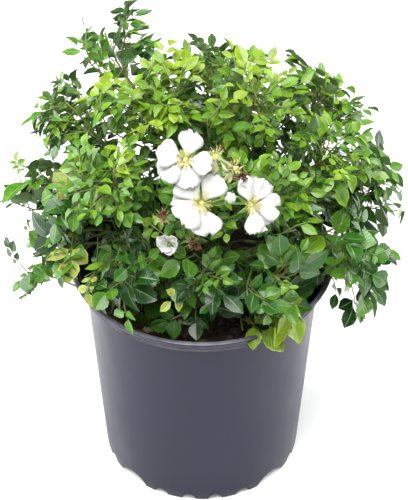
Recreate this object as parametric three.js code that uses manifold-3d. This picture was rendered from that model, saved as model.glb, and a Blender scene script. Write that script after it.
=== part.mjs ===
// A groundcover rose in a moulded nursery pot: the pot with its drainage openings, the potting mix,
// a short woody stem base, arching canes, a mass of leafy twigs at the end of each cane, and a
// truss of white blossom at the front. Millimetres, +Z up. The origin is the centre of the pot's
// flat underside, and the front of the plant faces -Y.

import * as THREE from "three";
import { mergeVertices } from "three/addons/utils/BufferGeometryUtils.js";
import Module from "manifold-3d";

const wasm = await Module();
wasm.setup();

const V = (x, y, z) => new THREE.Vector3(x, y, z);
const radians = THREE.MathUtils.degToRad;
const UP = V(0, 0, 1);
const GAP = 0.35;

// The pot: a tapered wall on a flat base, with a flared collar that has a ridge along its lower edge
// and a narrow lip along its top.
const POT = {
  height: 216,
  rimRadius: 115,
  lipWidth: 4.5,
  lipHeight: 2.5,
  lipEdge: 1.4,
  lipRound: 1.2,
  lipSlope: 0.6,
  ridgeRadius: 110,
  ridgeZ: 203.4,
  ridgeHeight: 1.2,
  rimWall: 2.8,
  wallTopRadius: 102.2,
  wallTopZ: 198.5,
  baseRadius: 89,
  footCorner: 1.5,
  wall: 2,
  sides: 36,
};

// The drainage openings along the pot's foot: four small arches on each foot, a scallop between feet.
const DRAINS = {
  feet: 4,
  archAngles: [-24.5, -7.7, 7.7, 24.5],
  archRadius: 6.5,
  archSides: 8,
  archReach: [75, 96],
  scallopRadius: 19,
  scallopDrop: 8.5,
  scallopSides: 14,
  scallopReach: [70, 98],
};

// The potting mix: its top is uneven from the ring outwards, and its bottom edge is worn round.
const SOIL = {
  top: 186,
  flatRadius: 27,
  ringRadius: 62,
  roughness: 1.6,
  bottomRadius: 68,
  bottomEdge: 17,
  seed: 5,
};

// The stem base, as [height above its cut, radius], leaning a little to the left. Canes leave it
// between the lowest and the highest sprout, the steeper ones higher up.
const STEM = {
  profile: [[0, 13], [4, 10], [13, 8.4], [23, 9.4], [30, 8], [34, 4.5]],
  sides: 9,
  lean: [-1.2, 0.8],
  lowestSprout: 8,
  highestSprout: 26,
  sproutLength: 9,
};

// The crown is a dome of masses that all point away from one centre. The canes of the masses below
// basalBelow rise from the potting mix at footRadius, and the others from the stem base.
const CROWN = {
  centre: V(1.5, 5, POT.height + 15),
  bareRadius: 42,
  basalBelow: 5,
  footRadius: 21,
  footRise: 16,
  caneRadius: [1.9, 1.25],
  caneSides: 4,
  caneSteps: 3,
};

// Each mass: the azimuth (0 is +X, 90 the back) and elevation of its stem, how far its leaves reach
// from the crown's centre, how much the middle of its stem is lifted and, for the lowest masses, the
// elevation below which no leaf hangs.
const MASSES = {
  right_low: { azimuth: -12, elevation: -8, reach: 170, lift: 18, lowest: -15 },
  front_right_low: { azimuth: -54, elevation: -7, reach: 154, lift: 12, lowest: -42 },
  front_low: { azimuth: -94, elevation: -2, reach: 116, lift: 3, lowest: -35 },
  front_left_low: { azimuth: -132, elevation: -8, reach: 128, lift: 8, lowest: -35 },
  left_low: { azimuth: 185, elevation: -3, reach: 174, lift: 14, lowest: -9 },
  back_left_low: { azimuth: 146, elevation: -4, reach: 160, lift: 14, lowest: -22 },
  back_low: { azimuth: 92, elevation: -4, reach: 152, lift: 14, lowest: -22 },
  back_right_low: { azimuth: 36, elevation: -4, reach: 162, lift: 14, lowest: -22 },
  right_mid: { azimuth: 11, elevation: 14, reach: 184, lift: 6 },
  front_right_mid: { azimuth: -29, elevation: 17, reach: 178, lift: 6 },
  front_right_inner: { azimuth: -60, elevation: 21, reach: 158, lift: 4 },
  front_mid: { azimuth: -90, elevation: 24, reach: 144, lift: 3 },
  front_left_inner: { azimuth: -126, elevation: 20, reach: 154, lift: 4 },
  front_left_mid: { azimuth: 203, elevation: 20, reach: 164, lift: 5 },
  left_mid: { azimuth: 168, elevation: 15, reach: 181, lift: 6 },
  back_mid: { azimuth: 90, elevation: 18, reach: 166, lift: 8 },
  right_high: { azimuth: 34, elevation: 35, reach: 188, lift: 4 },
  front_right_high: { azimuth: -12, elevation: 45, reach: 180, lift: 3 },
  front_crest_right: { azimuth: -50, elevation: 46, reach: 160, lift: 3 },
  front_crest: { azimuth: -92, elevation: 48, reach: 150, lift: 3 },
  front_left_high: { azimuth: 214, elevation: 47, reach: 168, lift: 3 },
  left_high: { azimuth: 153, elevation: 34, reach: 191, lift: 4 },
  top_left_shoot: { azimuth: 131, elevation: 49, reach: 219, lift: 3 },
  top_back: { azimuth: 82, elevation: 46, reach: 178, lift: 3 },
  top_left: { azimuth: 172, elevation: 72, reach: 182, lift: 0 },
  top_right: { azimuth: 8, elevation: 73, reach: 184, lift: 0 },
};

// How a mass branches: twigs in turn round its stem, compound leaves along the twigs and the stem.
// A twig's leaves are [place along it, side, share of the spread, size], and the leaf at the end of
// the stem is [place along it, share of the spread, size].
const RULE = {
  seed: 34,
  turn: 137.5,
  stations: 4,
  firstStation: 0.05,
  lastStation: 0.8,
  tipRoom: 26,
  stemRadius: [1.8, 1.3],
  stemSteps: 4,
  shortestTwig: 24,
  twigSpread: 30,
  twigRadius: [0.75, 0.75],
  twigTries: 6,
  twigLeaves: [[0.42, 1, 1, 0.9], [0.62, -1, 1, 0.9], [0.8, 1, 1, 0.9], [0.97, 1, 0.1, 1]],
  shortenBy: 0.82,
  leafStep: 0.1,
  endLeaf: [0.985, 0.1, 0.9],
  leafLength: 54,
  fullDepth: 140,
  leafWidth: 0.6,
  leafThick: 0.026,
  leafSpread: 55,
  faceWander: 0.7,
  faceOutward: 0.9,
  faceUp: 0.5,
  leafTries: 12,
  leafApart: 5.5,
  margin: 0.25,
  clear: 1.2,
};

// The truss: blossoms by their offset from its centre (right, back, up), where they face, and the
// angles of the petals that they still have.
const TRUSS = {
  centre: V(9.5, -98, 368),
  stemRadius: [1.3, 1],
  stalkRadius: [0.9, 0.8],
  heartRadius: 4.2,
  bloomRadius: 25.5,
  petalThick: 0.9,
  fork: 0.35,
  blooms: [
    { at: [-22, 5, 22], facing: [-0.12, -0.74, 0.66], petals: [78, 170, 222, 284, -8], size: 1 },
    { at: [-10, -13, -6], facing: [0.02, -0.8, 0.6], petals: [55, 130, 184, 228, 282], size: 1 },
    { at: [28, -4, -15], facing: [0.58, -0.68, 0.36], petals: [88, 36, -28, -66, -108], size: 0.96 },
  ],
  buds: [
    { at: [1, 6, 24], length: 15, width: 9 },
    { at: [12, -5, -7], length: 10, width: 9 },
    { at: [20, 6, 0], length: 11, width: 7 },
  ],
};

const COLOURS = {
  pot: { color: 0x55555f, roughness: 0.42 },
  soil: { color: 0x2c1e18, roughness: 0.95 },
  wood: { color: 0x6b5a3a, roughness: 0.8 },
  leaf: { color: 0x5f9a2c, roughness: 0.5 },
  petal: { color: 0xf6f5ee, roughness: 0.6 },
};

const group = new THREE.Group();
const materials = Object.fromEntries(
  Object.entries(COLOURS).map(([name, look]) => [
    name,
    new THREE.MeshStandardMaterial({ ...look, metalness: 0 }),
  ]),
);

// A generator of numbers from 0 to 1 that gives the same run for the same seed.
function seeded(seed) {
  let state = seed >>> 0;
  return () => {
    state = (state + 0x6d2b79f5) >>> 0;
    let t = Math.imul(state ^ (state >>> 15), state | 1);
    t ^= t + Math.imul(t ^ (t >>> 7), t | 61);
    return ((t ^ (t >>> 14)) >>> 0) / 4294967296;
  };
}

// A three.js geometry as a solid, and a solid as a three.js geometry.
function solidOf(geometry) {
  const bare = geometry.clone();
  bare.deleteAttribute("normal");
  bare.deleteAttribute("uv");
  const merged = mergeVertices(bare, 1e-4);
  return new wasm.Manifold(
    new wasm.Mesh({
      numProp: 3,
      vertProperties: new Float32Array(merged.attributes.position.array),
      triVerts: new Uint32Array(merged.index.array),
    }),
  );
}

function geometryOf(solid) {
  const mesh = solid.getMesh();
  return new THREE.BufferGeometry()
    .setAttribute("position", new THREE.BufferAttribute(mesh.vertProperties.slice(), 3))
    .setIndex(new THREE.BufferAttribute(mesh.triVerts.slice(), 1));
}

function addNode(name, solid, look) {
  const geometry = geometryOf(solid);
  geometry.computeVertexNormals();
  const mesh = new THREE.Mesh(geometry, materials[look]);
  mesh.name = name;
  group.add(mesh);
}

// Moves every point of a geometry.
function reshape(geometry, move) {
  const position = geometry.attributes.position;
  const point = new THREE.Vector3();
  for (let i = 0; i < position.count; i++) {
    move(point.fromBufferAttribute(position, i));
    position.setXYZ(i, point.x, point.y, point.z);
  }
  return geometry;
}

// A round shape from its [radius, height] outline, turned about Z.
function turned(outline, sides) {
  const points = outline.map(([r, z]) => new THREE.Vector2(r, z));
  return new THREE.LatheGeometry(points, sides).rotateX(Math.PI / 2);
}

// A tapering limb along a curve: a cylinder bent onto it.
function limb(curve, [startRadius, endRadius], sides, steps) {
  const chord = curve.getPoint(1).sub(curve.getPoint(0)).normalize();
  const across = Math.abs(chord.z) < 0.8 ? UP : V(1, 0, 0);
  const rod = new THREE.CylinderGeometry(1, 1, 1, sides, steps);
  return reshape(rod, (p) => {
    const t = p.y + 0.5;
    const radius = THREE.MathUtils.lerp(startRadius, endRadius, t);
    const along = curve.getTangent(t);
    const first = across.clone().cross(along).normalize();
    const second = first.clone().cross(along);
    const offset = first.multiplyScalar(p.x * radius).addScaledVector(second, p.z * radius);
    p.copy(curve.getPoint(t)).add(offset);
  });
}

// The pot's wall: its radius at a height, without and with its thickness.
function wallRadius(z) {
  return THREE.MathUtils.lerp(POT.baseRadius, POT.wallTopRadius, z / POT.wallTopZ);
}

function innerRadius(z) {
  return wallRadius(z) - POT.wall;
}

function potSolid() {
  const { height, rimRadius, lipRound, ridgeRadius, ridgeZ, baseRadius, footCorner, wall } = POT;
  const ridgeTop = ridgeZ + POT.ridgeHeight;
  const outline = [
    [0, 0],
    [baseRadius - footCorner, 0],
    [wallRadius(footCorner), footCorner],
    [POT.wallTopRadius, POT.wallTopZ],
    [ridgeRadius, ridgeZ],
    [ridgeRadius, ridgeTop],
    [rimRadius - lipRound, height - POT.lipHeight],
    [rimRadius, height - POT.lipEdge],
    [rimRadius - lipRound, height],
    [rimRadius - POT.lipWidth, height - POT.lipSlope],
    [ridgeRadius - POT.rimWall, ridgeTop],
    [innerRadius(POT.wallTopZ), POT.wallTopZ],
    [innerRadius(wall), wall],
    [0, wall],
  ];
  let pot = solidOf(turned(outline, POT.sides));
  for (let foot = 0; foot < DRAINS.feet; foot++) {
    const facing = -90 + (foot * 360) / DRAINS.feet;
    for (const angle of DRAINS.archAngles) {
      pot = pot.subtract(drain(facing + angle, DRAINS.archRadius, 0, DRAINS.archSides, DRAINS.archReach));
    }
    const { scallopRadius, scallopDrop, scallopSides, scallopReach } = DRAINS;
    const between = facing + 180 / DRAINS.feet;
    pot = pot.subtract(drain(between, scallopRadius, -scallopDrop, scallopSides, scallopReach));
  }
  return pot;
}

// A cutter for one drainage opening: a cylinder that points away from the pot's axis.
function drain(azimuth, radius, z, sides, [from, to]) {
  const cutter = new THREE.CylinderGeometry(radius, radius, to - from, sides)
    .rotateZ(Math.PI / 2)
    .translate((from + to) / 2, 0, z)
    .rotateZ(radians(azimuth));
  return solidOf(cutter);
}

// The potting mix, uneven on top and 0.35 mm clear of the pot.
function soilSolid() {
  const draw = seeded(SOIL.seed);
  const edge = innerRadius(SOIL.top) - GAP;
  const outline = [
    [0, POT.wall + GAP],
    [SOIL.bottomRadius, POT.wall + GAP],
    [innerRadius(SOIL.bottomEdge) - GAP, SOIL.bottomEdge],
    [edge, SOIL.top],
    [SOIL.ringRadius, SOIL.top],
    [SOIL.flatRadius, SOIL.top],
    [0, SOIL.top],
  ];
  const bumps = new Map();
  const plug = reshape(turned(outline, POT.sides), (p) => {
    if (Math.abs(Math.hypot(p.x, p.y) - SOIL.ringRadius) > 0.01) return;
    const place = Math.round(p.x * 10) + "," + Math.round(p.y * 10);
    if (!bumps.has(place)) bumps.set(place, (2 * draw() - 1) * SOIL.roughness);
    p.z += bumps.get(place);
  });
  return solidOf(plug);
}

// The stem base, made wider by grow so that a cane can be cut clear of it.
function stemSolid(grow = 0) {
  const last = STEM.profile.length - 1;
  const rings = STEM.profile.map(([height, radius], i) => {
    const lift = i === 0 ? -grow : i === last ? grow : 0;
    return [radius + grow, height + lift];
  });
  const outline = [[0, rings[0][1]], ...rings, [0, rings[last][1]]];
  const [leanX, leanY] = STEM.lean;
  const top = STEM.profile[last][0];
  const post = reshape(turned(outline, STEM.sides), (p) => {
    p.x += (leanX * p.z) / top;
    p.y += (leanY * p.z) / top;
    p.z += SOIL.top + GAP;
  });
  return solidOf(post);
}

function pointing(azimuth, elevation) {
  const flat = Math.cos(radians(elevation));
  const turn = radians(azimuth);
  return V(flat * Math.cos(turn), flat * Math.sin(turn), Math.sin(radians(elevation)));
}

const fromCentre = (direction, reach) => CROWN.centre.clone().addScaledVector(direction, reach);

// Works out each mass's stem, its cane, and the planes that part it from the other masses.
function layOut() {
  const all = Object.values(MASSES);
  Object.keys(MASSES).forEach((name, index) => {
    MASSES[name].name = name;
    MASSES[name].seed = RULE.seed + index * 1000;
  });
  for (const mass of all) {
    mass.direction = pointing(mass.azimuth, mass.elevation);
    mass.lowestSlope = Math.sin(radians(mass.lowest ?? -90));
    mass.leafLength = RULE.leafLength * Math.sqrt((mass.reach - CROWN.bareRadius) / RULE.fullDepth);
    mass.stem = stemCurve(mass);
    mass.cane = caneCurve(mass);
  }
  for (const mass of all) {
    mass.planes = all
      .filter((other) => other !== mass)
      .map((other) => mass.direction.clone().sub(other.direction).normalize());
  }
}

function stemCurve({ direction, reach, lift }) {
  const length = reach - RULE.tipRoom - CROWN.bareRadius;
  const middle = fromCentre(direction, CROWN.bareRadius + length * 0.6);
  middle.z += lift;
  return new THREE.CubicBezierCurve3(
    fromCentre(direction, CROWN.bareRadius + GAP),
    fromCentre(direction, CROWN.bareRadius + length * 0.25),
    middle,
    fromCentre(direction, CROWN.bareRadius + length),
  );
}

// A place on the straight runs that a mass's stem is built of.
function stemPoint({ stem }, share) {
  const run = Math.min(Math.floor(share * RULE.stemSteps), RULE.stemSteps - 1);
  const from = stem.getPoint(run / RULE.stemSteps);
  return from.lerp(stem.getPoint((run + 1) / RULE.stemSteps), share * RULE.stemSteps - run);
}

function caneCurve({ direction, azimuth, elevation }) {
  const outward = pointing(azimuth, 0);
  const end = fromCentre(direction, CROWN.bareRadius);
  const arrive = fromCentre(direction, CROWN.bareRadius * 0.5);
  if (elevation < CROWN.basalBelow) {
    const foot = outward.clone().multiplyScalar(CROWN.footRadius).setZ(SOIL.top + GAP);
    const rise = foot.clone().setZ(foot.z + CROWN.footRise);
    return new THREE.CubicBezierCurve3(foot, rise, arrive, end);
  }
  const { lean, lowestSprout, highestSprout, sproutLength } = STEM;
  const height = THREE.MathUtils.lerp(lowestSprout, highestSprout, direction.z);
  const root = V(lean[0] / 2, lean[1] / 2, SOIL.top + height);
  const leave = root.clone().addScaledVector(outward, sproutLength);
  leave.z += sproutLength + elevation / 5;
  return new THREE.CubicBezierCurve3(root, leave, arrive, end);
}

function addCanes() {
  const stemAround = stemSolid(GAP);
  for (const mass of Object.values(MASSES)) {
    const bent = limb(mass.cane, CROWN.caneRadius, CROWN.caneSides, CROWN.caneSteps);
    const isBasal = mass.elevation < CROWN.basalBelow;
    const cane = isBasal ? solidOf(bent) : solidOf(bent).subtract(stemAround);
    addNode("cane_" + mass.name, cane, "wood");
  }
}

// True where a point is inside the mass's own space, clear of the pot, the mix and the canes.
function isFree(mass, point) {
  const away = point.clone().sub(CROWN.centre);
  if (away.length() > mass.reach) return false;
  if (away.z < away.length() * mass.lowestSlope) return false;
  if (mass.planes.some((plane) => plane.dot(away) < RULE.margin)) return false;
  const radius = Math.hypot(point.x, point.y);
  if (radius < POT.wallTopRadius && point.z < SOIL.top + SOIL.roughness + RULE.clear) return false;
  const outerWall = point.z > POT.wallTopZ - RULE.clear ? POT.rimRadius : POT.wallTopRadius;
  const innerWall = innerRadius(Math.min(point.z, POT.wallTopZ));
  const isLow = point.z < POT.height + RULE.clear;
  if (isLow && radius > innerWall - RULE.clear && radius < outerWall + RULE.clear) return false;
  return keepClear.every(({ centre, room }) => centre.distanceTo(point) > room);
}

// A place on a leaf: along and across it, and off its surface.
function leafPoint({ base, heading, face }, [along, across, up]) {
  const normal = face.clone().addScaledVector(heading, -face.dot(heading)).normalize();
  const sideways = normal.clone().cross(heading);
  return base
    .clone()
    .addScaledVector(heading, along)
    .addScaledVector(sideways, across)
    .addScaledVector(normal, up);
}

// A leaf's corners: folded up along its midrib, widest beyond its middle, with a drooping tip.
function leafCorners({ length }) {
  const half = (length * RULE.leafWidth) / 2;
  return {
    root: [0, 0, 0],
    middle: [length * 0.32, 0, 0],
    left: [length * 0.56, half, half * 0.22],
    right: [length * 0.56, -half, half * 0.22],
    tip: [length, 0, -length * 0.1],
  };
}

function leafFits(mass, leaf, marks) {
  const { root, left, right, tip, middle } = leafCorners(leaf);
  const isClear = (place) => isFree(mass, leafPoint(leaf, place));
  const between = (from, to, share) => from.map((value, axis) => value + (to[axis] - value) * share);
  const shares = [0.1, 0.2, 0.3, 0.4, 0.5, 0.6, 0.7, 0.8, 0.9, 1];
  const edges = [[root, left], [root, right], [left, tip], [right, tip], [middle, tip]];
  const isInside = edges.every(([from, to]) => {
    const own = from === root ? shares.slice(1) : shares;
    return own.every((share) => isClear(between(from, to, share)));
  });
  if (!isInside) return false;
  leaf.marks = [middle, left, right, between(middle, tip, 0.5), tip].map((p) => leafPoint(leaf, p));
  return leaf.marks.every((mark) => marks.every((m) => m.distanceTo(mark) > RULE.leafApart));
}

// An eight-faced leaf: an octahedron whose corners move to the leaf's own.
function leafSolid(leaf) {
  const { root, left, right, tip, middle } = leafCorners(leaf);
  const halfThick = (leaf.length * RULE.leafThick) / 2;
  const place = (p) => {
    if (Math.abs(p.x) > 0.5) return p.x > 0 ? tip : root;
    if (Math.abs(p.y) > 0.5) return p.y > 0 ? left : right;
    return [middle[0], 0, p.z * halfThick];
  };
  const blade = new THREE.OctahedronGeometry(1);
  return solidOf(reshape(blade, (p) => p.copy(leafPoint(leaf, place(p)))));
}

// Tries a leaf where one belongs. Where it would leave its space or cross a leaf it turns round the
// twig, leans in and shrinks, and in the end it is left out.
function tryLeaf(mass, marks, draw, { base, along, side, spreadShare, size }) {
  const outward = base.clone().sub(CROWN.centre).normalize();
  const face = V(draw() - 0.5, draw() - 0.5, draw() - 0.5).multiplyScalar(RULE.faceWander);
  face.addScaledVector(outward, RULE.faceOutward).addScaledVector(UP, RULE.faceUp);
  const spread = radians(RULE.leafSpread * spreadShare * (0.75 + 0.5 * draw()));
  const length = mass.leafLength * size * (0.85 + 0.3 * draw());
  for (let attempt = 0; attempt < RULE.leafTries; attempt++) {
    const ease = 1 - attempt / RULE.leafTries;
    const turnedSide = side.clone().applyAxisAngle(along, radians(RULE.turn * attempt));
    const heading = along
      .clone()
      .multiplyScalar(Math.cos(spread * ease))
      .addScaledVector(turnedSide, Math.sin(spread * ease))
      .normalize();
    const leaf = { base, heading, face, length: length * (0.6 + 0.4 * ease) };
    if (leafFits(mass, leaf, marks)) return leaf;
  }
  return null;
}

// A straight side twig, shortened until it stays in its space, or nothing.
function tryTwig(mass, draw, { base, along, side }) {
  const spread = radians(RULE.twigSpread * (0.8 + 0.4 * draw()));
  const heading = along.clone().multiplyScalar(Math.cos(spread)).addScaledVector(side, Math.sin(spread));
  const room = mass.reach - RULE.tipRoom - base.distanceTo(CROWN.centre);
  let length = Math.max(room / Math.cos(spread), RULE.shortestTwig) * (0.85 + 0.2 * draw());
  for (let attempt = 0; attempt < RULE.twigTries; attempt++) {
    const twig = new THREE.LineCurve3(base, base.clone().addScaledVector(heading, length));
    const beyondStem = twig.getPoints(12).slice(3);
    if (beyondStem.every((point) => isFree(mass, point))) return twig;
    length *= RULE.shortenBy;
  }
  return null;
}

// Grows a mass from its stem: first the side twigs in turn, and then the leaves, at the stem's end,
// along each twig and across from each twig.
function grow(mass) {
  const twigs = [];
  const spots = [];
  const level = V(-Math.sin(radians(mass.azimuth)), Math.cos(radians(mass.azimuth)), 0);
  const firstTurn = 360 * seeded(mass.seed)();
  const stationStep = (RULE.lastStation - RULE.firstStation) / (RULE.stations - 1);
  for (let station = 0; station < RULE.stations; station++) {
    const share = RULE.firstStation + stationStep * station;
    const base = stemPoint(mass, share);
    const along = mass.stem.getTangent(share);
    const side = level.clone().cross(along).normalize();
    side.applyAxisAngle(along, radians(firstTurn + RULE.turn * station));
    const twig = tryTwig(mass, seeded(mass.seed + 1 + station), { base, along, side });
    if (twig) {
      twigs.push(twig);
      const twigAlong = twig.getTangent(0);
      const across = twigAlong.clone().cross(along).normalize();
      for (const [place, flip, spreadShare, size] of RULE.twigLeaves) {
        const leafSide = across.clone().multiplyScalar(flip);
        spots.push({ base: twig.getPoint(place), along: twigAlong, side: leafSide, spreadShare, size });
      }
    }
    const opposite = stemPoint(mass, share + RULE.leafStep);
    spots.push({ base: opposite, along, side: side.clone().negate(), spreadShare: 1, size: 1 });
  }
  if (!mass.bearsTruss) {
    const [place, spreadShare, size] = RULE.endLeaf;
    const forward = mass.stem.getTangent(1);
    spots.unshift({ base: stemPoint(mass, place), along: forward, side: level, spreadShare, size });
  }
  const marks = [...twigs, mass.stem].flatMap((limbCurve) => limbCurve.getPoints(4).slice(1));
  const leaves = [];
  spots.forEach((spot, index) => {
    const leaf = tryLeaf(mass, marks, seeded(mass.seed + 100 + index), spot);
    if (!leaf) return;
    leaves.push(leaf);
    marks.push(...leaf.marks);
  });
  return { twigs, leaves };
}

function massSolid(mass) {
  const { twigs, leaves } = grow(mass);
  const parts = [
    solidOf(limb(mass.stem, RULE.stemRadius, 3, RULE.stemSteps)),
    ...twigs.map((twig) => solidOf(limb(twig, RULE.twigRadius, 3, 1))),
    ...leaves.map(leafSolid),
  ];
  return parts.reduce((all, part) => all.add(part));
}

// A petal: an octahedron with split faces, widened towards its notched tip, cupped and bent back.
function petalSolid({ centre, facing, size }, angle) {
  const radius = TRUSS.bloomRadius * size;
  const front = V(...facing).normalize();
  const up = UP.clone().addScaledVector(front, -front.z).normalize();
  const right = up.clone().cross(front);
  const out = right.multiplyScalar(Math.cos(radians(angle)));
  out.addScaledVector(up, Math.sin(radians(angle)));
  const across = front.clone().cross(out);
  const shape = (p) => {
    const along = (p.x + 1) / 2;
    const notch = p.x > 0.99 ? 0.08 : 0;
    const width = radius * (0.02 + 0.66 * along) * p.y;
    const cup = radius * (0.14 * along + 0.1 * p.y * p.y) + (p.z * TRUSS.petalThick) / 2;
    p.copy(centre)
      .addScaledVector(out, radius * (0.1 + 0.9 * along - notch))
      .addScaledVector(across, width)
      .addScaledVector(front, cup);
  };
  return solidOf(reshape(new THREE.OctahedronGeometry(1, 1), shape));
}

// The truss of blossom at the front, on a stem that goes on from the crest's.
function layOutTruss() {
  const { direction, reach } = MASSES.front_crest;
  TRUSS.begin = fromCentre(direction, reach - RULE.tipRoom + GAP);
  TRUSS.forkPoint = TRUSS.begin.clone().lerp(TRUSS.centre, TRUSS.fork);
  for (const head of [...TRUSS.blooms, ...TRUSS.buds]) head.centre = TRUSS.centre.clone().add(V(...head.at));
}

function trussSolid() {
  const stalk = (from, to, radii) => solidOf(limb(new THREE.LineCurve3(from, to), radii, 4, 1));
  const { begin, forkPoint } = TRUSS;
  const past = forkPoint.clone().addScaledVector(MASSES.front_crest.direction, 1);
  const parts = [stalk(begin, past, TRUSS.stemRadius)];
  for (const bloom of TRUSS.blooms) {
    const heart = new THREE.IcosahedronGeometry(TRUSS.heartRadius).translate(...bloom.centre);
    parts.push(stalk(forkPoint, bloom.centre, TRUSS.stalkRadius), solidOf(heart));
    parts.push(...bloom.petals.map((angle) => petalSolid(bloom, angle)));
  }
  for (const { centre, length, width } of TRUSS.buds) {
    const heading = centre.clone().sub(forkPoint).normalize();
    const body = new THREE.OctahedronGeometry(1, 1)
      .scale(width / 2, width / 2, length / 2)
      .applyQuaternion(new THREE.Quaternion().setFromUnitVectors(UP, heading))
      .translate(...centre);
    parts.push(stalk(forkPoint, centre, TRUSS.stalkRadius), solidOf(body));
  }
  return parts.reduce((all, part) => all.add(part));
}

// What the leaves keep clear of: places along the canes and the stalks, the blossoms and the buds.
function placesToKeepClear() {
  const canes = Object.values(MASSES).flatMap((mass) => mass.cane.getPoints(14).slice(0, -2));
  const stalks = [...TRUSS.blooms, ...TRUSS.buds].flatMap(({ centre }) =>
    [0.2, 0.4, 0.6, 0.8].map((share) => TRUSS.forkPoint.clone().lerp(centre, share)),
  );
  const limbs = [...canes, ...stalks, TRUSS.forkPoint];
  return [
    ...limbs.map((centre) => ({ centre, room: CROWN.caneRadius[0] + RULE.clear })),
    ...TRUSS.buds.map(({ centre, length }) => ({ centre, room: length / 2 + RULE.clear })),
    ...TRUSS.blooms.map(({ centre, size }) => ({ centre, room: TRUSS.bloomRadius * size + RULE.clear })),
  ];
}

MASSES.front_crest.bearsTruss = true;
layOut();
layOutTruss();
const keepClear = placesToKeepClear();

addNode("pot", potSolid(), "pot");
addNode("potting_mix", soilSolid(), "soil");
addNode("stem_base", stemSolid(), "wood");
addCanes();
for (const mass of Object.values(MASSES)) addNode("foliage_" + mass.name, massSolid(mass), "leaf");
addNode("flower_truss", trussSolid(), "petal");

export default group;
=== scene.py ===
"""A groundcover rose in a moulded nursery pot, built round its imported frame, and a plain stage.

Metres, +Z up. The origin is the centre of the pot's flat underside, and the front faces -Y.
"""

import functools
import math

import bmesh
import bpy
import numpy as np
from mathutils import Matrix, Vector, noise


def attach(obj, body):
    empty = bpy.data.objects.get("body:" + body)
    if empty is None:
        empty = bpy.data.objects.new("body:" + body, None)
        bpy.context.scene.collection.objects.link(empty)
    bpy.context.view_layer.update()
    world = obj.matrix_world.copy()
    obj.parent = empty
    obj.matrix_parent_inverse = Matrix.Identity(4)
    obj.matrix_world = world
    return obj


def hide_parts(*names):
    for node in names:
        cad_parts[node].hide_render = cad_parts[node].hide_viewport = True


bl_info = {
    "name": "Potted Groundcover Rose",
    "version": (1, 0, 0),
    "blender": (4, 5, 0),
    "location": "View3D > Sidebar > Rose",
    "description": "Builds a potted groundcover rose with its blossom, and a plain stage",
    "category": "Add Mesh",
}

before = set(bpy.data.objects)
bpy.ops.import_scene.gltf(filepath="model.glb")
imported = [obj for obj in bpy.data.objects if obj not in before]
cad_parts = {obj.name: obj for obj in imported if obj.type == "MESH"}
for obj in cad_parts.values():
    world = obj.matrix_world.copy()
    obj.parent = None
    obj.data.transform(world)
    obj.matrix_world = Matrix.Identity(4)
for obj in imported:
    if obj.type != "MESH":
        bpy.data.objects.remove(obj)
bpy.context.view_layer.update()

UP = np.array([0.0, 0.0, 1.0])
GAP = 0.00035

# The pot's and the potting mix's sizes that the plant keeps clear of.
POT_HEIGHT = 0.216
RIM_RADIUS = 0.115
RIDGE_RADIUS = 0.11
RIDGE_Z = 0.2034
RIDGE_HEIGHT = 0.0012
WALL_TOP_RADIUS = 0.1022
WALL_TOP_Z = 0.1985
BASE_RADIUS = 0.089
WALL = 0.002
SOIL_TOP = 0.186
SOIL_ROUGHNESS = 0.0016

# The stem base, as (height above its cut, radius), leaning a little to the left.
STEM_PROFILE = [(0, 0.013), (0.004, 0.01), (0.013, 0.0084), (0.023, 0.0094), (0.03, 0.008),
                (0.034, 0.0045)]
STEM_LEAN = (-0.0012, 0.0008)
LOWEST_SPROUT = 0.008
HIGHEST_SPROUT = 0.026
SPROUT_LENGTH = 0.009
# How many degrees of a mass's elevation make its cane start a metre steeper.
SPROUT_DEGREES = 5000

# The crown is a dome of masses that all point away from one centre.
CENTRE = np.array([0.0015, 0.005, POT_HEIGHT + 0.015])
BARE_RADIUS = 0.042
# The elevations below which a mass's cane rises from the potting mix, and a mass is at the sides.
BASAL_BELOW = 5
SIDES_BELOW = 25
FOOT_RADIUS = 0.021
FOOT_RISE = 0.016
CANE_RADIUS = (0.0019, 0.00125)

# Each mass: the azimuth and elevation of its stem, how far its leaves reach from the crown's centre,
# how much the middle of its stem is lifted, and the elevation below which none of its leaves hangs.
MASSES = {
    "right_low": (-12, -8, 0.17, 0.018, -15),
    "front_right_low": (-54, -7, 0.154, 0.012, -42),
    "front_low": (-94, -2, 0.116, 0.003, -35),
    "front_left_low": (-132, -8, 0.128, 0.008, -35),
    "left_low": (185, -3, 0.174, 0.014, -9),
    "back_left_low": (146, -4, 0.16, 0.014, -22),
    "back_low": (92, -4, 0.152, 0.014, -22),
    "back_right_low": (36, -4, 0.162, 0.014, -22),
    "right_mid": (11, 14, 0.184, 0.006, -90),
    "front_right_mid": (-29, 17, 0.178, 0.006, -90),
    "front_right_inner": (-60, 21, 0.158, 0.004, -90),
    "front_mid": (-90, 24, 0.144, 0.003, -90),
    "front_left_inner": (-126, 20, 0.154, 0.004, -90),
    "front_left_mid": (203, 20, 0.164, 0.005, -90),
    "left_mid": (168, 15, 0.181, 0.006, -90),
    "back_mid": (90, 18, 0.166, 0.008, -90),
    "right_high": (34, 35, 0.188, 0.004, -90),
    "front_right_high": (-12, 45, 0.18, 0.003, -90),
    "front_crest_right": (-50, 46, 0.16, 0.003, -90),
    "front_crest": (-92, 48, 0.15, 0.003, -90),
    "front_left_high": (214, 47, 0.168, 0.003, -90),
    "left_high": (153, 34, 0.191, 0.004, -90),
    "top_left_shoot": (131, 49, 0.219, 0.003, -90),
    "top_back": (82, 46, 0.178, 0.003, -90),
    "top_left": (172, 72, 0.182, 0, -90),
    "top_right": (8, 73, 0.184, 0, -90),
}

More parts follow.
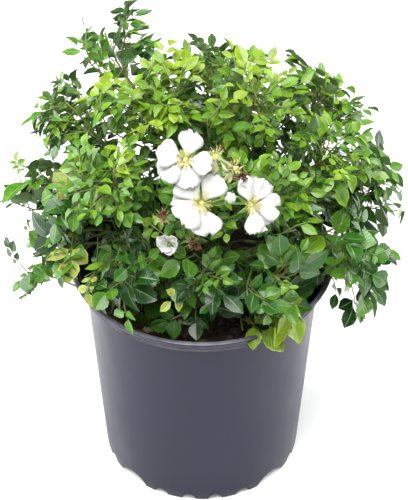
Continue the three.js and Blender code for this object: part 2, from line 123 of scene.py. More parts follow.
# How a mass branches: twigs in turn round its stem, compound leaves along the twigs and the stem.
SEED = 34
TURN = 137.5
STATIONS = 4
FIRST_STATION = 0.05
LAST_STATION = 0.8
TIP_ROOM = 0.026
STEM_STEPS = 4
SHORTEST_TWIG = 0.024
TWIG_SPREAD = 30
TWIG_TRIES = 6
SHORTEN_BY = 0.82
TWIG_LEAVES = [(0.42, 1, 1, 0.9), (0.62, -1, 1, 0.9), (0.8, 1, 1, 0.9), (0.97, 1, 0.1, 1)]
LEAF_STEP = 0.1
END_LEAF = (0.985, 0.1, 0.9)
LEAF_LENGTH = 0.054
FULL_DEPTH = 0.14
LEAF_WIDTH = 0.6
LEAF_SPREAD = 55
FACE_WANDER = 0.7
FACE_OUTWARD = 0.9
FACE_UP = 0.5
LEAF_TRIES = 12
LEAF_APART = 0.0055
MARGIN = 0.00025
CLEAR = 0.0012

# The lowest masses at the front have broad leaflets. The open ones are thin, so that the potting mix
# shows between them: they bear only every second or third leaf and no finer shoots.
LOW_MASSES = ("front_low", "front_left_low", "front_right_low")
OPEN_MASSES = {"front_low": 2, "front_left_low": 3}
LONG_SHOOT = "top_left_shoot"

# Where small leaves are thinned: beyond how far from the crown's centre, and what share of them
# goes. The long shoot's distance is in metres, and the others' are in shares of a mass's reach.
SHOOT_THINNED = (0.172, 0.6)
LOW_THINNED = (0.58, 0.8)
SIDE_THINNED = (0.74, 0.65)

# The finer shoots that grow on from those twigs, each with small leaves. The scene's own limbs are
# finer than the solids': (radius at the foot, radius at the tip).
FINE_STEM_RADIUS = (0.0015, 0.0009)
TWIG_RADIUS = (0.0011, 0.0006)
SHOOT_RADIUS = (0.0007, 0.00045)
LEAF_STALK_RADIUS = (0.00062, 0.00042)
SHOOT_PLACES = (0.08, 0.18, 0.28, 0.38, 0.48, 0.58, 0.68, 0.78, 0.88, 0.96)
LOW_SHOOTS_REACH = 0.085
SHOOT_SPREAD = 48
INNER_SPREAD = 72
FILL_PLACES = (0.13, 0.27, 0.41, 0.55, 0.69, 0.83)
FILL_SPREAD = 88
SHOOT_LENGTH = 0.02
SHOOT_LEAVES = ((0.5, 1, 0.9), (0.98, 0.15, 1))
SMALL_LEAF = 0.8
CANE_LEAF = 0.85
SMALL_APART = 0.0046
CANE_PLACES = (0.5, 0.58, 0.66, 0.74, 0.8, 0.86, 0.92, 0.98)

# What each use of chance adds to the seed of a mass.
LEAF_DRAWS = 100
SHOOT_DRAWS = 300
SMALL_LEAF_DRAWS = 500
CANE_PRICKLE_DRAWS = 700
STEM_PRICKLE_DRAWS = 800
SHADE_DRAWS = 900

# The truss, as offsets from its centre (right, back, up): where each blossom faces, and the angles of
# the petals that it still has.
TRUSS_CENTRE = np.array([0.0095, -0.098, 0.368])
TRUSS_FORK = 0.35
TRUSS_STEM_RADIUS = (0.0013, 0.001)
STALK_RADIUS = (0.0009, 0.0008)
BLOOM_RADIUS = 0.0255
BLOOMS = [
    {"at": (-0.022, 0.005, 0.022), "facing": (-0.12, -0.74, 0.66), "petals": (78, 170, 222, 284, -8),
     "size": 1, "dark": 0.5},
    {"at": (-0.01, -0.013, -0.006), "facing": (0.02, -0.8, 0.6), "petals": (55, 130, 184, 228, 282),
     "size": 1, "dark": 0.1},
    {"at": (0.028, -0.004, -0.015), "facing": (0.58, -0.68, 0.36), "petals": (88, 36, -28, -66, -108),
     "size": 0.96, "dark": 0.2},
]
BUDS = [
    {"at": (0.001, 0.006, 0.024), "length": 0.015, "facing": (0.15, -0.35, 0.9), "kind": "spent"},
    {"at": (0.012, -0.005, -0.007), "length": 0.01, "facing": (0.1, -0.75, 0.6), "kind": "bud"},
    {"at": (0.02, 0.006, 0), "length": 0.011, "facing": (0.3, -0.5, 0.8), "kind": "dried"},
]
BUD_WIDTH = 0.009
# Spent heads on short stalks of their own, by their place: they are finer than the solids show.
SPENT = [
    {"at": (-0.0255, -0.1, 0.311), "length": 0.013, "facing": (-0.2, -0.75, 0.6), "kind": "crumpled"},
    {"at": (-0.0075, -0.1, 0.314), "length": 0.011, "facing": (0.1, -0.8, 0.5), "kind": "dried"},
    {"at": (-0.0295, -0.1, 0.339), "length": 0.008, "facing": (-0.1, -0.7, 0.7), "kind": "dried"},
    {"at": (0.0245, -0.09, 0.379), "length": 0.012, "facing": (0.2, -0.4, 0.85), "kind": "spent"},
    {"at": (-0.1405, -0.02, 0.21), "length": 0.009, "facing": (-0.6, -0.5, 0.3), "kind": "dried"},
]
SPENT_ROOM = 0.009


def colour_setting(name, description, default):
    return bpy.props.FloatVectorProperty(
        name=name, description=description, default=default, subtype="COLOR"
    )


def length_setting(name, description, default):
    return bpy.props.FloatProperty(
        name=name, description=description, default=default, unit="LENGTH"
    )


class RosePot(bpy.types.PropertyGroup):
    """Sizes and colours of the pot and of what fills it."""

    rim_radius: length_setting("Rim radius", "Outer radius of the pot's rim", RIM_RADIUS)
    lip_width: length_setting("Lip width", "Width of the rim's flat lip", 0.0045)
    plastic: colour_setting("Plastic", "Colour of the moulded plastic", (0.004, 0.0033, 0.024))
    scuffs: colour_setting("Scuffs", "Colour of the dull scuffs", (0.018, 0.017, 0.038))
    # Painted highlight: a pale colour on the lip's top and the ridge that stands in for the light
    # their edges catch.
    lip_highlight: colour_setting("Worn edges", "Colour of the rubbed lip and ridge", (0.22, 0.22, 0.25))
    # Painted shade: the inside, the underside and the cut edges of the openings take this much darker
    # colour in place of the shade that falls there.
    inside: colour_setting("Inside", "Colour of the inside and cut edges", (0.0015, 0.0014, 0.003))
    mix: colour_setting("Potting mix", "Colour of the moist mix", (0.022, 0.013, 0.009))
    chip_count: bpy.props.IntProperty(
        name="Bark chips", description="How many bark chips lie on the potting mix", default=620, min=0
    )


class RoseCrown(bpy.types.PropertyGroup):
    """Colours of the canes, twigs and leaves."""

    cane_bark: colour_setting("Cane bark", "Colour of the older canes", (0.055, 0.038, 0.016))
    young_bark: colour_setting("Young bark", "Colour of the green twigs", (0.13, 0.17, 0.035))
    # The leaf shades stand partly for the leaves' age and partly for painted light and shade: the
    # light one is a painted lit copy, and the dark one is painted shade on the inner leaves.
    leaf_young: colour_setting("Young leaf", "Colour of the newest leaves", (0.19, 0.3, 0.012))
    leaf_light: colour_setting("Light leaf", "Colour of leaves in full light", (0.12, 0.248, 0.011))
    leaf_mid: colour_setting("Green leaf", "Colour of most leaves", (0.066, 0.185, 0.012))
    leaf_deep: colour_setting("Deep leaf", "Colour of mature leaves", (0.026, 0.105, 0.009))
    leaf_dark: colour_setting("Dark leaf", "Colour of the inner leaves", (0.009, 0.045, 0.007))
    leaf_yellowed: colour_setting("Yellowed leaf", "Colour of ageing leaves", (0.34, 0.41, 0.07))
    leaf_under: colour_setting("Leaf underside", "Colour of the dull undersides", (0.11, 0.2, 0.06))


class RoseBlossom(bpy.types.PropertyGroup):
    """Colours of the blossoms and the buds, and how full their hearts are."""

    petal: colour_setting("Petal", "Colour of the open petals", (0.69, 0.685, 0.66))
    petal_base: colour_setting("Petal base", "Colour of a petal near the heart", (0.74, 0.74, 0.45))
    spent: colour_setting("Spent petal", "Colour of withered petals", (0.58, 0.57, 0.33))
    brown: colour_setting("Dried petal", "Colour of dried petals", (0.17, 0.075, 0.03))
    anther: colour_setting("Anther", "Colour of the fresh anthers", (0.72, 0.5, 0.12))
    stamens: bpy.props.IntProperty(
        name="Stamens", description="How many stamens a blossom has", default=54, min=0
    )


class RoseStage(bpy.types.PropertyGroup):
    """The floor, the light and the camera."""

    floor_colour: colour_setting("Floor", "Colour of the floor", (0.93, 0.93, 0.93))
    floor_glow: bpy.props.FloatProperty(
        name="Floor glow", description="Light that the floor gives, as a light table does",
        default=0.18, min=0
    )
    sky_strength: bpy.props.FloatProperty(
        name="Sky", description="Strength of the even light from all round", default=0.15, min=0
    )
    key_power: bpy.props.FloatProperty(
        name="Key light", description="Power of the large soft light", default=52, min=0, unit="POWER"
    )
    lens: bpy.props.FloatProperty(
        name="Lens", description="Focal length of the camera in millimetres", default=132.5, min=1
    )
    distance: length_setting("Distance", "From the place aimed at to the camera", 1.6)
    elevation: bpy.props.FloatProperty(
        name="Elevation", description="Height of the camera as an angle",
        default=math.radians(40.4), subtype="ANGLE"
    )


def seeded(seed):
    """A generator of numbers from 0 to 1 that gives the same run for the same seed."""
    mask = 0xFFFFFFFF
    state = seed & mask

    def draw():
        nonlocal state
        state = (state + 0x6D2B79F5) & mask
        t = ((state ^ (state >> 15)) * (state | 1)) & mask
        t ^= (t + (((t ^ (t >> 7)) * (t | 61)) & mask)) & mask
        return (t ^ (t >> 14)) / 4294967296

    return draw


def lerp(start, end, share):
    return start + (end - start) * share


def unit(vector):
    return vector / np.linalg.norm(vector)


def swung(start, side, angle):
    """The direction start, swung by an angle towards side, which stands square to it."""
    return start * math.cos(angle) + side * math.sin(angle)


def rotated(vector, axis, degrees):
    angle = math.radians(degrees)
    kept = axis * (axis @ vector) * (1 - math.cos(angle))
    return swung(vector, np.cross(axis, vector), angle) + kept


def pointing(azimuth, elevation):
    turn = math.radians(azimuth)
    rise = math.radians(elevation)
    return np.array([math.cos(rise) * math.cos(turn), math.cos(rise) * math.sin(turn), math.sin(rise)])


def from_centre(direction, reach):
    return CENTRE + direction * reach


def distances(places, others):
    """How far each place is from each of the others."""
    return np.linalg.norm(places[:, None, :] - others[None, :, :], axis=2)


class Curve:
    """A cubic Bezier curve in space."""

    def __init__(self, *controls):
        self.controls = np.array(controls, dtype=float)

    def at(self, share):
        a, b, c, d = self.controls
        s = 1 - share
        return a * s**3 + b * 3 * s * s * share + c * 3 * s * share * share + d * share**3

    def heading(self, share):
        a, b, c, d = self.controls
        s = 1 - share
        return unit((b - a) * s * s + (c - b) * 2 * s * share + (d - c) * share * share)


def straight(start, end):
    return Curve(start, lerp(start, end, 1 / 3), lerp(start, end, 2 / 3), end)


def wall_radius(z):
    return lerp(BASE_RADIUS, WALL_TOP_RADIUS, z / WALL_TOP_Z)


class Mass:
    """One mass of the crown: its stem, its cane and the planes that part it from the others."""

    def __init__(self, index, name):
        self.name = name
        self.azimuth, self.elevation, self.reach, self.lift, lowest = MASSES[name]
        self.lowest_slope = math.sin(math.radians(lowest))
        self.seed = SEED + index * 1000
        self.direction = pointing(self.azimuth, self.elevation)
        self.leaf_length = LEAF_LENGTH * math.sqrt((self.reach - BARE_RADIUS) / FULL_DEPTH)
        self.bears_truss = name == "front_crest"
        self.stem = self.stem_curve()
        self.cane = self.cane_curve()

    def stem_curve(self):
        length = self.reach - TIP_ROOM - BARE_RADIUS
        middle = from_centre(self.direction, BARE_RADIUS + length * 0.6) + UP * self.lift
        return Curve(
            from_centre(self.direction, BARE_RADIUS + GAP),
            from_centre(self.direction, BARE_RADIUS + length * 0.25),
            middle,
            from_centre(self.direction, BARE_RADIUS + length),
        )

    def cane_curve(self):
        outward = pointing(self.azimuth, 0)
        end = from_centre(self.direction, BARE_RADIUS)
        arrive = from_centre(self.direction, BARE_RADIUS * 0.5)
        if self.elevation < BASAL_BELOW:
            foot = outward * FOOT_RADIUS + UP * (SOIL_TOP + GAP)
            return Curve(foot, foot + UP * FOOT_RISE, arrive, end)
        height = lerp(LOWEST_SPROUT, HIGHEST_SPROUT, self.direction[2])
        root = np.array([STEM_LEAN[0] / 2, STEM_LEAN[1] / 2, SOIL_TOP + height])
        steeper = self.elevation / SPROUT_DEGREES
        leave = root + outward * SPROUT_LENGTH + UP * (SPROUT_LENGTH + steeper)
        return Curve(root, leave, arrive, end)

    def stem_point(self, share):
        """A place on the straight runs that the solid stem is built of."""
        run = min(math.floor(share * STEM_STEPS), STEM_STEPS - 1)
        start = self.stem.at(run / STEM_STEPS)
        return lerp(start, self.stem.at((run + 1) / STEM_STEPS), share * STEM_STEPS - run)

    def is_free(self, points):
        """True for each point inside the mass's own space, clear of the pot, the mix and the canes."""
        away = points - CENTRE
        distance = np.linalg.norm(away, axis=1)
        free = (distance <= self.reach) & (away[:, 2] >= distance * self.lowest_slope)
        free &= (away @ self.planes.T >= MARGIN).all(axis=1)
        radius = np.hypot(points[:, 0], points[:, 1])
        z = points[:, 2]
        free &= ~((radius < WALL_TOP_RADIUS) & (z < SOIL_TOP + SOIL_ROUGHNESS + CLEAR))
        outer = np.where(z > WALL_TOP_Z - CLEAR, RIM_RADIUS, WALL_TOP_RADIUS)
        inner = wall_radius(np.minimum(z, WALL_TOP_Z)) - WALL
        free &= ~((z < POT_HEIGHT + CLEAR) & (radius > inner - CLEAR) & (radius < outer + CLEAR))
        centres, rooms = places_to_keep_clear()
        return free & (distances(points, centres) > rooms).all(axis=1)


@functools.cache
def masses():
    made = [Mass(index, name) for index, name in enumerate(MASSES)]
    for mass in made:
        gaps = [mass.direction - other.direction for other in made if other is not mass]
        mass.planes = np.array([unit(gap) for gap in gaps])
    return made


@functools.cache
def truss_layout():
    """Where the truss's stem begins and forks, and the centres of its blossoms and buds."""
    crest = next(mass for mass in masses() if mass.bears_truss)
    begin = from_centre(crest.direction, crest.reach - TIP_ROOM + GAP)
    fork = lerp(begin, TRUSS_CENTRE, TRUSS_FORK)
    blooms = [TRUSS_CENTRE + np.array(bloom["at"]) for bloom in BLOOMS]
    buds = [TRUSS_CENTRE + np.array(bud["at"]) for bud in BUDS]
    return begin, fork, blooms, buds


@functools.cache
def places_to_keep_clear():
    _, fork, blooms, buds = truss_layout()
    limbs = [mass.cane.at(step / 14) for mass in masses() for step in range(13)]
    limbs += [lerp(fork, head, share) for head in blooms + buds for share in (0.2, 0.4, 0.6, 0.8)]
    limbs.append(fork)
    rooms = [CANE_RADIUS[0] + CLEAR] * len(limbs)
    rooms += [bud["length"] / 2 + CLEAR for bud in BUDS]
    rooms += [BLOOM_RADIUS * bloom["size"] + CLEAR for bloom in BLOOMS]
    return np.array(limbs + buds + blooms), np.array(rooms)


class Leaf:
    """One compound leaf: its foot, the way it heads, the way it faces and its length."""

    def __init__(self, base, heading, face, length):
        self.base = base
        self.heading = heading
        self.normal = unit(face - heading * (face @ heading))
        self.sideways = np.cross(self.normal, heading)
        self.length = length

    def points(self, places):
        """Places along, across and off the leaf, in shares of its length, as points in space."""
        axes = np.array([self.heading, self.sideways, self.normal])
        return self.base + (places * self.length) @ axes


def leaf_corners():
    half = LEAF_WIDTH / 2
    root = np.zeros(3)
    middle = np.array([0.32, 0, 0])
    left = np.array([0.56, half, half * 0.22])
    right = np.array([0.56, -half, half * 0.22])
    tip = np.array([1, 0, -0.1])
    return root, middle, left, right, tip


@functools.cache
def leaf_samples():
    root, middle, left, right, tip = leaf_corners()
    shares = np.arange(1, 11) / 10
    edges = [(root, left), (root, right), (left, tip), (right, tip), (middle, tip)]
    rows = [lerp(a, b, share) for a, b in edges for share in (shares[1:] if a is root else shares)]
    marks = [middle, left, right, lerp(middle, tip, 0.5), tip]
    return np.array(rows), np.array(marks)


def try_leaf(mass, marks, draw, base, along, side, spread_share, size, apart):
    """Tries a leaf where one belongs, or turns it round the twig, leans it in and shrinks it."""
    outward = unit(base - CENTRE)
    face = np.array([draw() - 0.5, draw() - 0.5, draw() - 0.5]) * FACE_WANDER
    face = face + outward * FACE_OUTWARD + UP * FACE_UP
    spread = math.radians(LEAF_SPREAD * spread_share * (0.75 + 0.5 * draw()))
    length = mass.leaf_length * size * (0.85 + 0.3 * draw())
    samples, mark_places = leaf_samples()
    for attempt in range(LEAF_TRIES):
        ease = 1 - attempt / LEAF_TRIES
        turned = rotated(side, along, TURN * attempt)
        heading = unit(swung(along, turned, spread * ease))
        leaf = Leaf(base, heading, face, length * (0.6 + 0.4 * ease))
        if not mass.is_free(leaf.points(samples)).all():
            continue
        leaf.marks = leaf.points(mark_places)
        if (distances(leaf.marks, marks) > apart).all():
            return leaf
    return None


def try_twig(mass, draw, base, along, side):
    """A straight side twig, shortened until it stays in its space, or nothing."""
    spread = math.radians(TWIG_SPREAD * (0.8 + 0.4 * draw()))
    heading = swung(along, side, spread)
    room = mass.reach - TIP_ROOM - np.linalg.norm(base - CENTRE)
    length = max(room / math.cos(spread), SHORTEST_TWIG) * (0.85 + 0.2 * draw())
    for _ in range(TWIG_TRIES):
        beyond_stem = np.array([base + heading * (length * step / 12) for step in range(3, 13)])
        if mass.is_free(beyond_stem).all():
            return straight(base, base + heading * length)
        length *= SHORTEN_BY
    return None


def grow(mass):
    """Grows a mass from its stem, twigs and leaves as the solids have them, then finer shoots."""
    twigs = []
    spots = []
    level = pointing(mass.azimuth + 90, 0)
    first_turn = 360 * seeded(mass.seed)()
    for station in range(STATIONS):
        share = FIRST_STATION + (LAST_STATION - FIRST_STATION) / (STATIONS - 1) * station
        base = mass.stem_point(share)
        along = mass.stem.heading(share)
        side = rotated(unit(np.cross(level, along)), along, first_turn + TURN * station)
        twig = try_twig(mass, seeded(mass.seed + 1 + station), base, along, side)
        if twig:
            twigs.append(twig)
            twig_along = twig.heading(0)
            across = unit(np.cross(twig_along, along))
            for place, flip, spread_share, size in TWIG_LEAVES:
                spots.append((twig.at(place), twig_along, across * flip, spread_share, size))
        spots.append((mass.stem_point(share + LEAF_STEP), along, -side, 1, 1))
    if not mass.bears_truss:
        place, spread_share, size = END_LEAF
        spots.insert(0, (mass.stem_point(place), mass.stem.heading(1), level, spread_share, size))
    marks = np.array([limb.at(step / 4) for limb in [*twigs, mass.stem] for step in range(1, 5)])
    leaves = []
    for index, spot in enumerate(spots):
        leaf = try_leaf(mass, marks, seeded(mass.seed + LEAF_DRAWS + index), *spot, LEAF_APART)
        if leaf:
            leaf.is_small = False
            leaves.append(leaf)
            marks = np.vstack([marks, leaf.marks])
    if mass.name in OPEN_MASSES:
        return twigs, leaves[:: OPEN_MASSES[mass.name]], [], []
    shoots, small = grow_shoots(mass, twigs, marks)
    return twigs, leaves, shoots, small


def is_off_spent_heads(leaf):
    heads = np.array([head["at"] for head in SPENT])
    return (distances(leaf.marks, heads) > SPENT_ROOM).all()


def is_left_open(mass, leaf, draw):
    """True for most small leaves near the tip of the long shoot, and for many at the crown's sides."""
    away = np.linalg.norm(leaf.base + leaf.heading * leaf.length - CENTRE)
    if mass.name == LONG_SHOOT:
        return away > SHOOT_THINNED[0] and draw() < SHOOT_THINNED[1]
    start, share = LOW_THINNED if mass.elevation < BASAL_BELOW else SIDE_THINNED
    return mass.elevation < SIDES_BELOW and away > start * mass.reach and draw() < share


def grow_shoots(mass, twigs, marks):
    """Carries a mass on to finer shoots, on its twigs, its stem and the end of its cane."""
    shoots = []
    leaves = []
    starts = [(limb, place, SHOOT_SPREAD) for limb in [*twigs, mass.stem] for place in SHOOT_PLACES]
    starts += [(mass.stem, place, INNER_SPREAD) for place in SHOOT_PLACES]
    starts += [(twig, place, INNER_SPREAD) for twig in twigs for place in SHOOT_PLACES[1::2]]
    starts += [(mass.cane, place, INNER_SPREAD) for place in CANE_PLACES]
    if mass.elevation > BASAL_BELOW and mass.name != LONG_SHOOT:
        starts += [(limb, place, FILL_SPREAD) for limb in [*twigs, mass.stem] for place in FILL_PLACES]
    for index, (limb, place, widest) in enumerate(starts):
        draw = seeded(mass.seed + SHOOT_DRAWS + index)
        base = limb.at(place)
        if mass.name in LOW_MASSES and np.linalg.norm(base - CENTRE) > LOW_SHOOTS_REACH:
            continue
        along = limb.heading(place)
        side = rotated(unit(np.cross(UP + 0.01, along)), along, 360 * draw())
        spread = math.radians(widest * (0.7 + 0.6 * draw()))
        heading = unit(swung(along, side, spread))
        end = base + heading * SHOOT_LENGTH * (0.5 + draw())
        shoot = straight(base, end)
        if limb is not mass.cane and not mass.is_free(np.array([shoot.at(0.6), end])).all():
            continue
        grown = 0
        for spot, (share, spread_share, size) in enumerate(SHOOT_LEAVES):
            spot_draw = seeded(mass.seed + SMALL_LEAF_DRAWS + 5 * index + spot)
            size *= CANE_LEAF if limb is mass.cane else SMALL_LEAF
            leaf = try_leaf(mass, marks, spot_draw, shoot.at(share), heading, side, spread_share,
                            size, SMALL_APART)
            if leaf and is_off_spent_heads(leaf) and not is_left_open(mass, leaf, draw):
                leaf.is_small = True
                leaves.append(leaf)
                marks = np.vstack([marks, leaf.marks])
                grown += 1
        if grown:
            shoots.append(shoot)
    return shoots, leaves


@functools.cache
def crown():
    """Every mass with what grows on it."""
    return [(mass, *grow(mass)) for mass in masses()]


# The sway of twigs and leaves is two waves through space, a long one and a short one. Each row
# tells how fast the wave that pushes along X, Y or Z turns along the three axes.
LONG_WAVE = np.array([[0, 71, 43], [67, 0, -51], [59, 77, 0]])
LONG_WAVE_START = np.array([0.6, 1.9, 3.3])
SHORT_WAVE = np.array([[0, 0, 129], [117, 0, 0], [0, 123, 0]])
SHORT_WAVE_START = np.array([2.1, 4.0, 0.7])
SWAY = 0.0019
# It grows over these distances from the bare middle of the crown and from the height of the rim.
SWAY_GROWS_OUT = 0.07
SWAY_GROWS_UP = 0.03
LEAST_SWAY = 0.25


def swayed(points):
    """Bends twigs and leaves together by a few millimetres, so that no twig stays ruled straight."""
    away = np.linalg.norm(points - CENTRE, axis=1)
    share = np.clip((away - BARE_RADIUS) / SWAY_GROWS_OUT, 0, 1)
    over_pot = np.clip((points[:, 2] - POT_HEIGHT) / SWAY_GROWS_UP, LEAST_SWAY, 1)
    push = np.sin(points @ LONG_WAVE.T + LONG_WAVE_START)
    push += 0.6 * np.sin(points @ SHORT_WAVE.T + SHORT_WAVE_START)
    return points + push * (share * over_pot * SWAY)[:, None]


class Heap:
    """Points and faces gathered from many small shapes, to be joined into one mesh."""

    def __init__(self):
        self.points = []
        self.faces = []
        self.slots = []
        self.places = []
        self.count = 0

    def add(self, points, faces, slots, places):
        self.points.append(points)
        self.faces.append(faces + self.count)
        self.slots.append(slots)
        self.places.append(places)
        self.count += len(points)

    def stamp(self, shape, origin, axes, slot_of=None):
        """Adds a copy of a shape: axes holds its X, Y and Z directions as rows, scaled."""
        slots = shape.slots if slot_of is None else np.array(slot_of)[shape.slots]
        self.add(origin + shape.points @ axes, shape.faces, slots, shape.places)

    def tube(self, curve, radii, sides, steps, slot=0, bulge=None):
        """Adds a closed tapering tube along a curve; bulge makes it thicker or thinner in places."""
        rings = []
        places = []
        across = UP if abs(curve.heading(0)[2]) < 0.8 else np.array([1.0, 0, 0])
        for step in range(steps + 1):
            share = step / steps
            along = curve.heading(share)
            first = unit(np.cross(across, along))
            second = np.cross(first, along)
            for side in range(sides):
                turn = 2 * math.pi * side / sides
                radius = lerp(*radii, share)
                if bulge:
                    radius *= bulge(share, turn)
                rings.append(curve.at(share) + swung(first, -second, turn) * radius)
                places.append((share, side / sides))
        faces = []
        for step in range(steps):
            for side in range(sides):
                a = step * sides + side
                b = step * sides + (side + 1) % sides
                faces += [(a, b, b + sides), (a, b + sides, a + sides)]
        last = steps * sides
        for side in range(1, sides - 1):
            faces += [(0, side + 1, side), (last, last + side, last + side + 1)]
        self.add(np.array(rings), np.array(faces), np.full(len(faces), slot), np.array(places))

    def build(self, name, materials, sharp=None, sway=False):
        """Joins the heap into one object at the origin."""
        points = np.concatenate(self.points)
        if sway:
            points = swayed(points)
        faces = np.concatenate(self.faces).astype(np.int32)
        mesh = bpy.data.meshes.new(name)
        mesh.vertices.add(len(points))
        mesh.vertices.foreach_set("co", points.astype(np.float32).ravel())
        mesh.loops.add(faces.size)
        mesh.loops.foreach_set("vertex_index", faces.ravel())
        mesh.polygons.add(len(faces))
        mesh.polygons.foreach_set("loop_start", np.arange(0, faces.size, 3, dtype=np.int32))
        mesh.polygons.foreach_set("material_index", np.concatenate(self.slots).astype(np.int32))
        places = np.concatenate(self.places).astype(np.float32)
        layer = mesh.uv_layers.new(name="place")
        layer.data.foreach_set("uv", places[faces.ravel()].ravel())
        mesh.update(calc_edges=True)
        mesh.shade_smooth()
        if sharp is not None:
            mesh.set_sharp_from_angle(angle=math.radians(sharp))
        for material in materials:
            mesh.materials.append(material)
        return place_object(name, mesh)


def place_object(name, mesh):
    made = bpy.data.objects.new(name, mesh)
    bpy.context.scene.collection.objects.link(made)
    return made


def mesh_from(bm, name):
    mesh = bpy.data.meshes.new(name)
    bm.to_mesh(mesh)
    bm.free()
    return mesh


def turned_shape(outline, steps):
    """A closed shape from an outline of (radius, height), spun once round the upright axis."""
    bm = bmesh.new()
    verts = [bm.verts.new((radius, 0, z)) for radius, z in outline]
    edges = [bm.edges.new(pair) for pair in zip(verts, verts[1:])]
    bmesh.ops.spin(bm, geom=verts + edges, cent=(0, 0, 0), axis=(0, 0, 1), angle=2 * math.pi,
                   steps=steps, use_merge=True)
    bmesh.ops.remove_doubles(bm, verts=bm.verts, dist=1e-6)
    bmesh.ops.recalc_face_normals(bm, faces=bm.faces)
    return bm


def finish_piece(piece, slot, *nodes):
    """Rides the piece on the part's one body, and hides the frame's nodes that it stands for."""
    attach(piece, "root")
    if nodes:
        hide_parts(*nodes)


class Shape:
    """A small shape to be stamped many times, taken from a bmesh whose places hold its own map."""

    def __init__(self, bm, layer):
        bmesh.ops.triangulate(bm, faces=bm.faces)
        bm.verts.index_update()
        self.points = np.array([vert.co[:] for vert in bm.verts])
        self.faces = np.array([[vert.index for vert in face.verts] for face in bm.faces])
        self.slots = np.array([face.material_index for face in bm.faces])
        self.places = np.array([(vert[layer][0], (vert[layer][1] + 1) / 2) for vert in bm.verts])
        bm.free()


def blade(stations, columns, place, thickness):
    """A closed thin blade on a grid: place gives a point for its share along and across (-1 to 1).

    Its upper faces take slot 0, or slot 1 on its midrib, and its lower faces take slot 2.
    """
    bm = bmesh.new()
    layer = bm.verts.layers.float_vector.new("place")
    bmesh.ops.create_grid(bm, x_segments=stations, y_segments=len(columns) - 1, size=0.5)
    for vert in bm.verts:
        along = round((vert.co.x + 0.5) * stations)
        across = columns[round((vert.co.y + 0.5) * (len(columns) - 1))]
        vert[layer] = (along / stations, across, 0)
        vert.co = place(along / stations, across, along)
    for face in bm.faces:
        if abs(sum(vert[layer][1] for vert in face.verts)) < 0.01 and len(columns) % 2 == 0:
            face.material_index = 1
    copied = bmesh.ops.duplicate(bm, geom=list(bm.verts) + list(bm.edges) + list(bm.faces))["geom"]
    below = [part for part in copied if isinstance(part, bmesh.types.BMFace)]
    for face in below:
        face.material_index = 2
    bmesh.ops.reverse_faces(bm, faces=below)
    for vert in {vert for face in below for vert in face.verts}:
        if abs(vert[layer][1]) < 1 and 0 < vert[layer][0] < 1:
            vert.co.z -= thickness
    bmesh.ops.remove_doubles(bm, verts=bm.verts, dist=1e-5)
    return Shape(bm, layer)


# The columns of a leaflet's grid, from edge to edge. The two beside the middle bound the midrib, and
# those at VEIN_COLUMN swell between the veins.
VEIN_COLUMN = 0.55
FINE_COLUMNS = (-1, -VEIN_COLUMN, -0.04, 0.04, VEIN_COLUMN, 1)
PLAIN_COLUMNS = (-1, -0.06, 0.06, 1)
# How a leaflet is folded along its midrib and curled towards its tip, in each of its shapes.
LEAFLET_FORMS = ((0.3, 0.18), (0.5, 0.3), (0.2, -0.08), (0.65, 0.38), (0.4, 0.1), (-0.15, 0.25))


def leaflet(stations, columns, fold, curl, seed):
    """A toothed pointed leaflet one unit long on its own short stalk, folded along its midrib."""
    draw = seeded(seed)
    twist = 0.16 * (draw() - 0.5)
    skew = 0.06 * (draw() - 0.5)
    blade_half = 0.29
    stalk_half = 0.018
    tooth = 0.014
    swelling = 0.012

    def place(along, across, station):
        up_blade = (station - 1) / (stations - 1)
        is_blade = 0 < up_blade < 1
        is_tooth = station % 2 == 1
        is_edge = abs(across) == 1 and is_blade
        half = stalk_half * (station == 1)
        if is_blade:
            half = blade_half * math.sin(math.pi * up_blade**0.86) ** (0.8 + 0.2 * up_blade)
        if is_edge:
            half *= 1.04 if is_tooth else 0.97
        x = along + tooth * (is_edge and is_tooth)
        y = half * across
        quilt = swelling * (abs(across) == VEIN_COLUMN and is_tooth)
        z = fold * abs(y) - curl * along * along + quilt + twist * y * along
        return Vector((x, y + skew * math.sin(math.pi * along), z))

    return blade(stations, columns, place, 0.018)


@functools.cache
def leaflets(is_small):
    stations, columns, seed = (7, PLAIN_COLUMNS, 40) if is_small else (10, FINE_COLUMNS, 20)
    return [leaflet(stations, columns, *form, seed + i) for i, form in enumerate(LEAFLET_FORMS)]


# A compound leaf's leaflets, as (place along its stalk, side, share of the leaf's length), and how
# much of the leaf's length its stalk has.
BROAD_LEAF = ((1, 0, 0.62), (0.7, 1, 0.54), (0.7, -1, 0.54))
THREE_LEAF = ((1, 0, 0.48), (0.74, 1, 0.42), (0.74, -1, 0.42))
FIVE_LEAF = ((1, 0, 0.39), (0.86, 1, 0.35), (0.86, -1, 0.35), (0.5, 1, 0.29), (0.5, -1, 0.29))
SEVEN_LEAF = ((1, 0, 0.33), (0.9, 1, 0.31), (0.9, -1, 0.31), (0.64, 1, 0.28), (0.64, -1, 0.28),
              (0.38, 1, 0.23), (0.38, -1, 0.23))
STALK_SHARES = {BROAD_LEAF: 0.44, THREE_LEAF: 0.54, FIVE_LEAF: 0.61, SEVEN_LEAF: 0.61}
LONGEST_BROAD = 0.044
BROAD_BREADTH = 1.2
# Other leaflets are broad at the pot's rim and narrow from this height over it.
NARROW_FROM = 0.16
BREADTHS = (1.1, 0.86)
# The angle between a leaf's stalk and its side leaflets.
SPLAY = 58


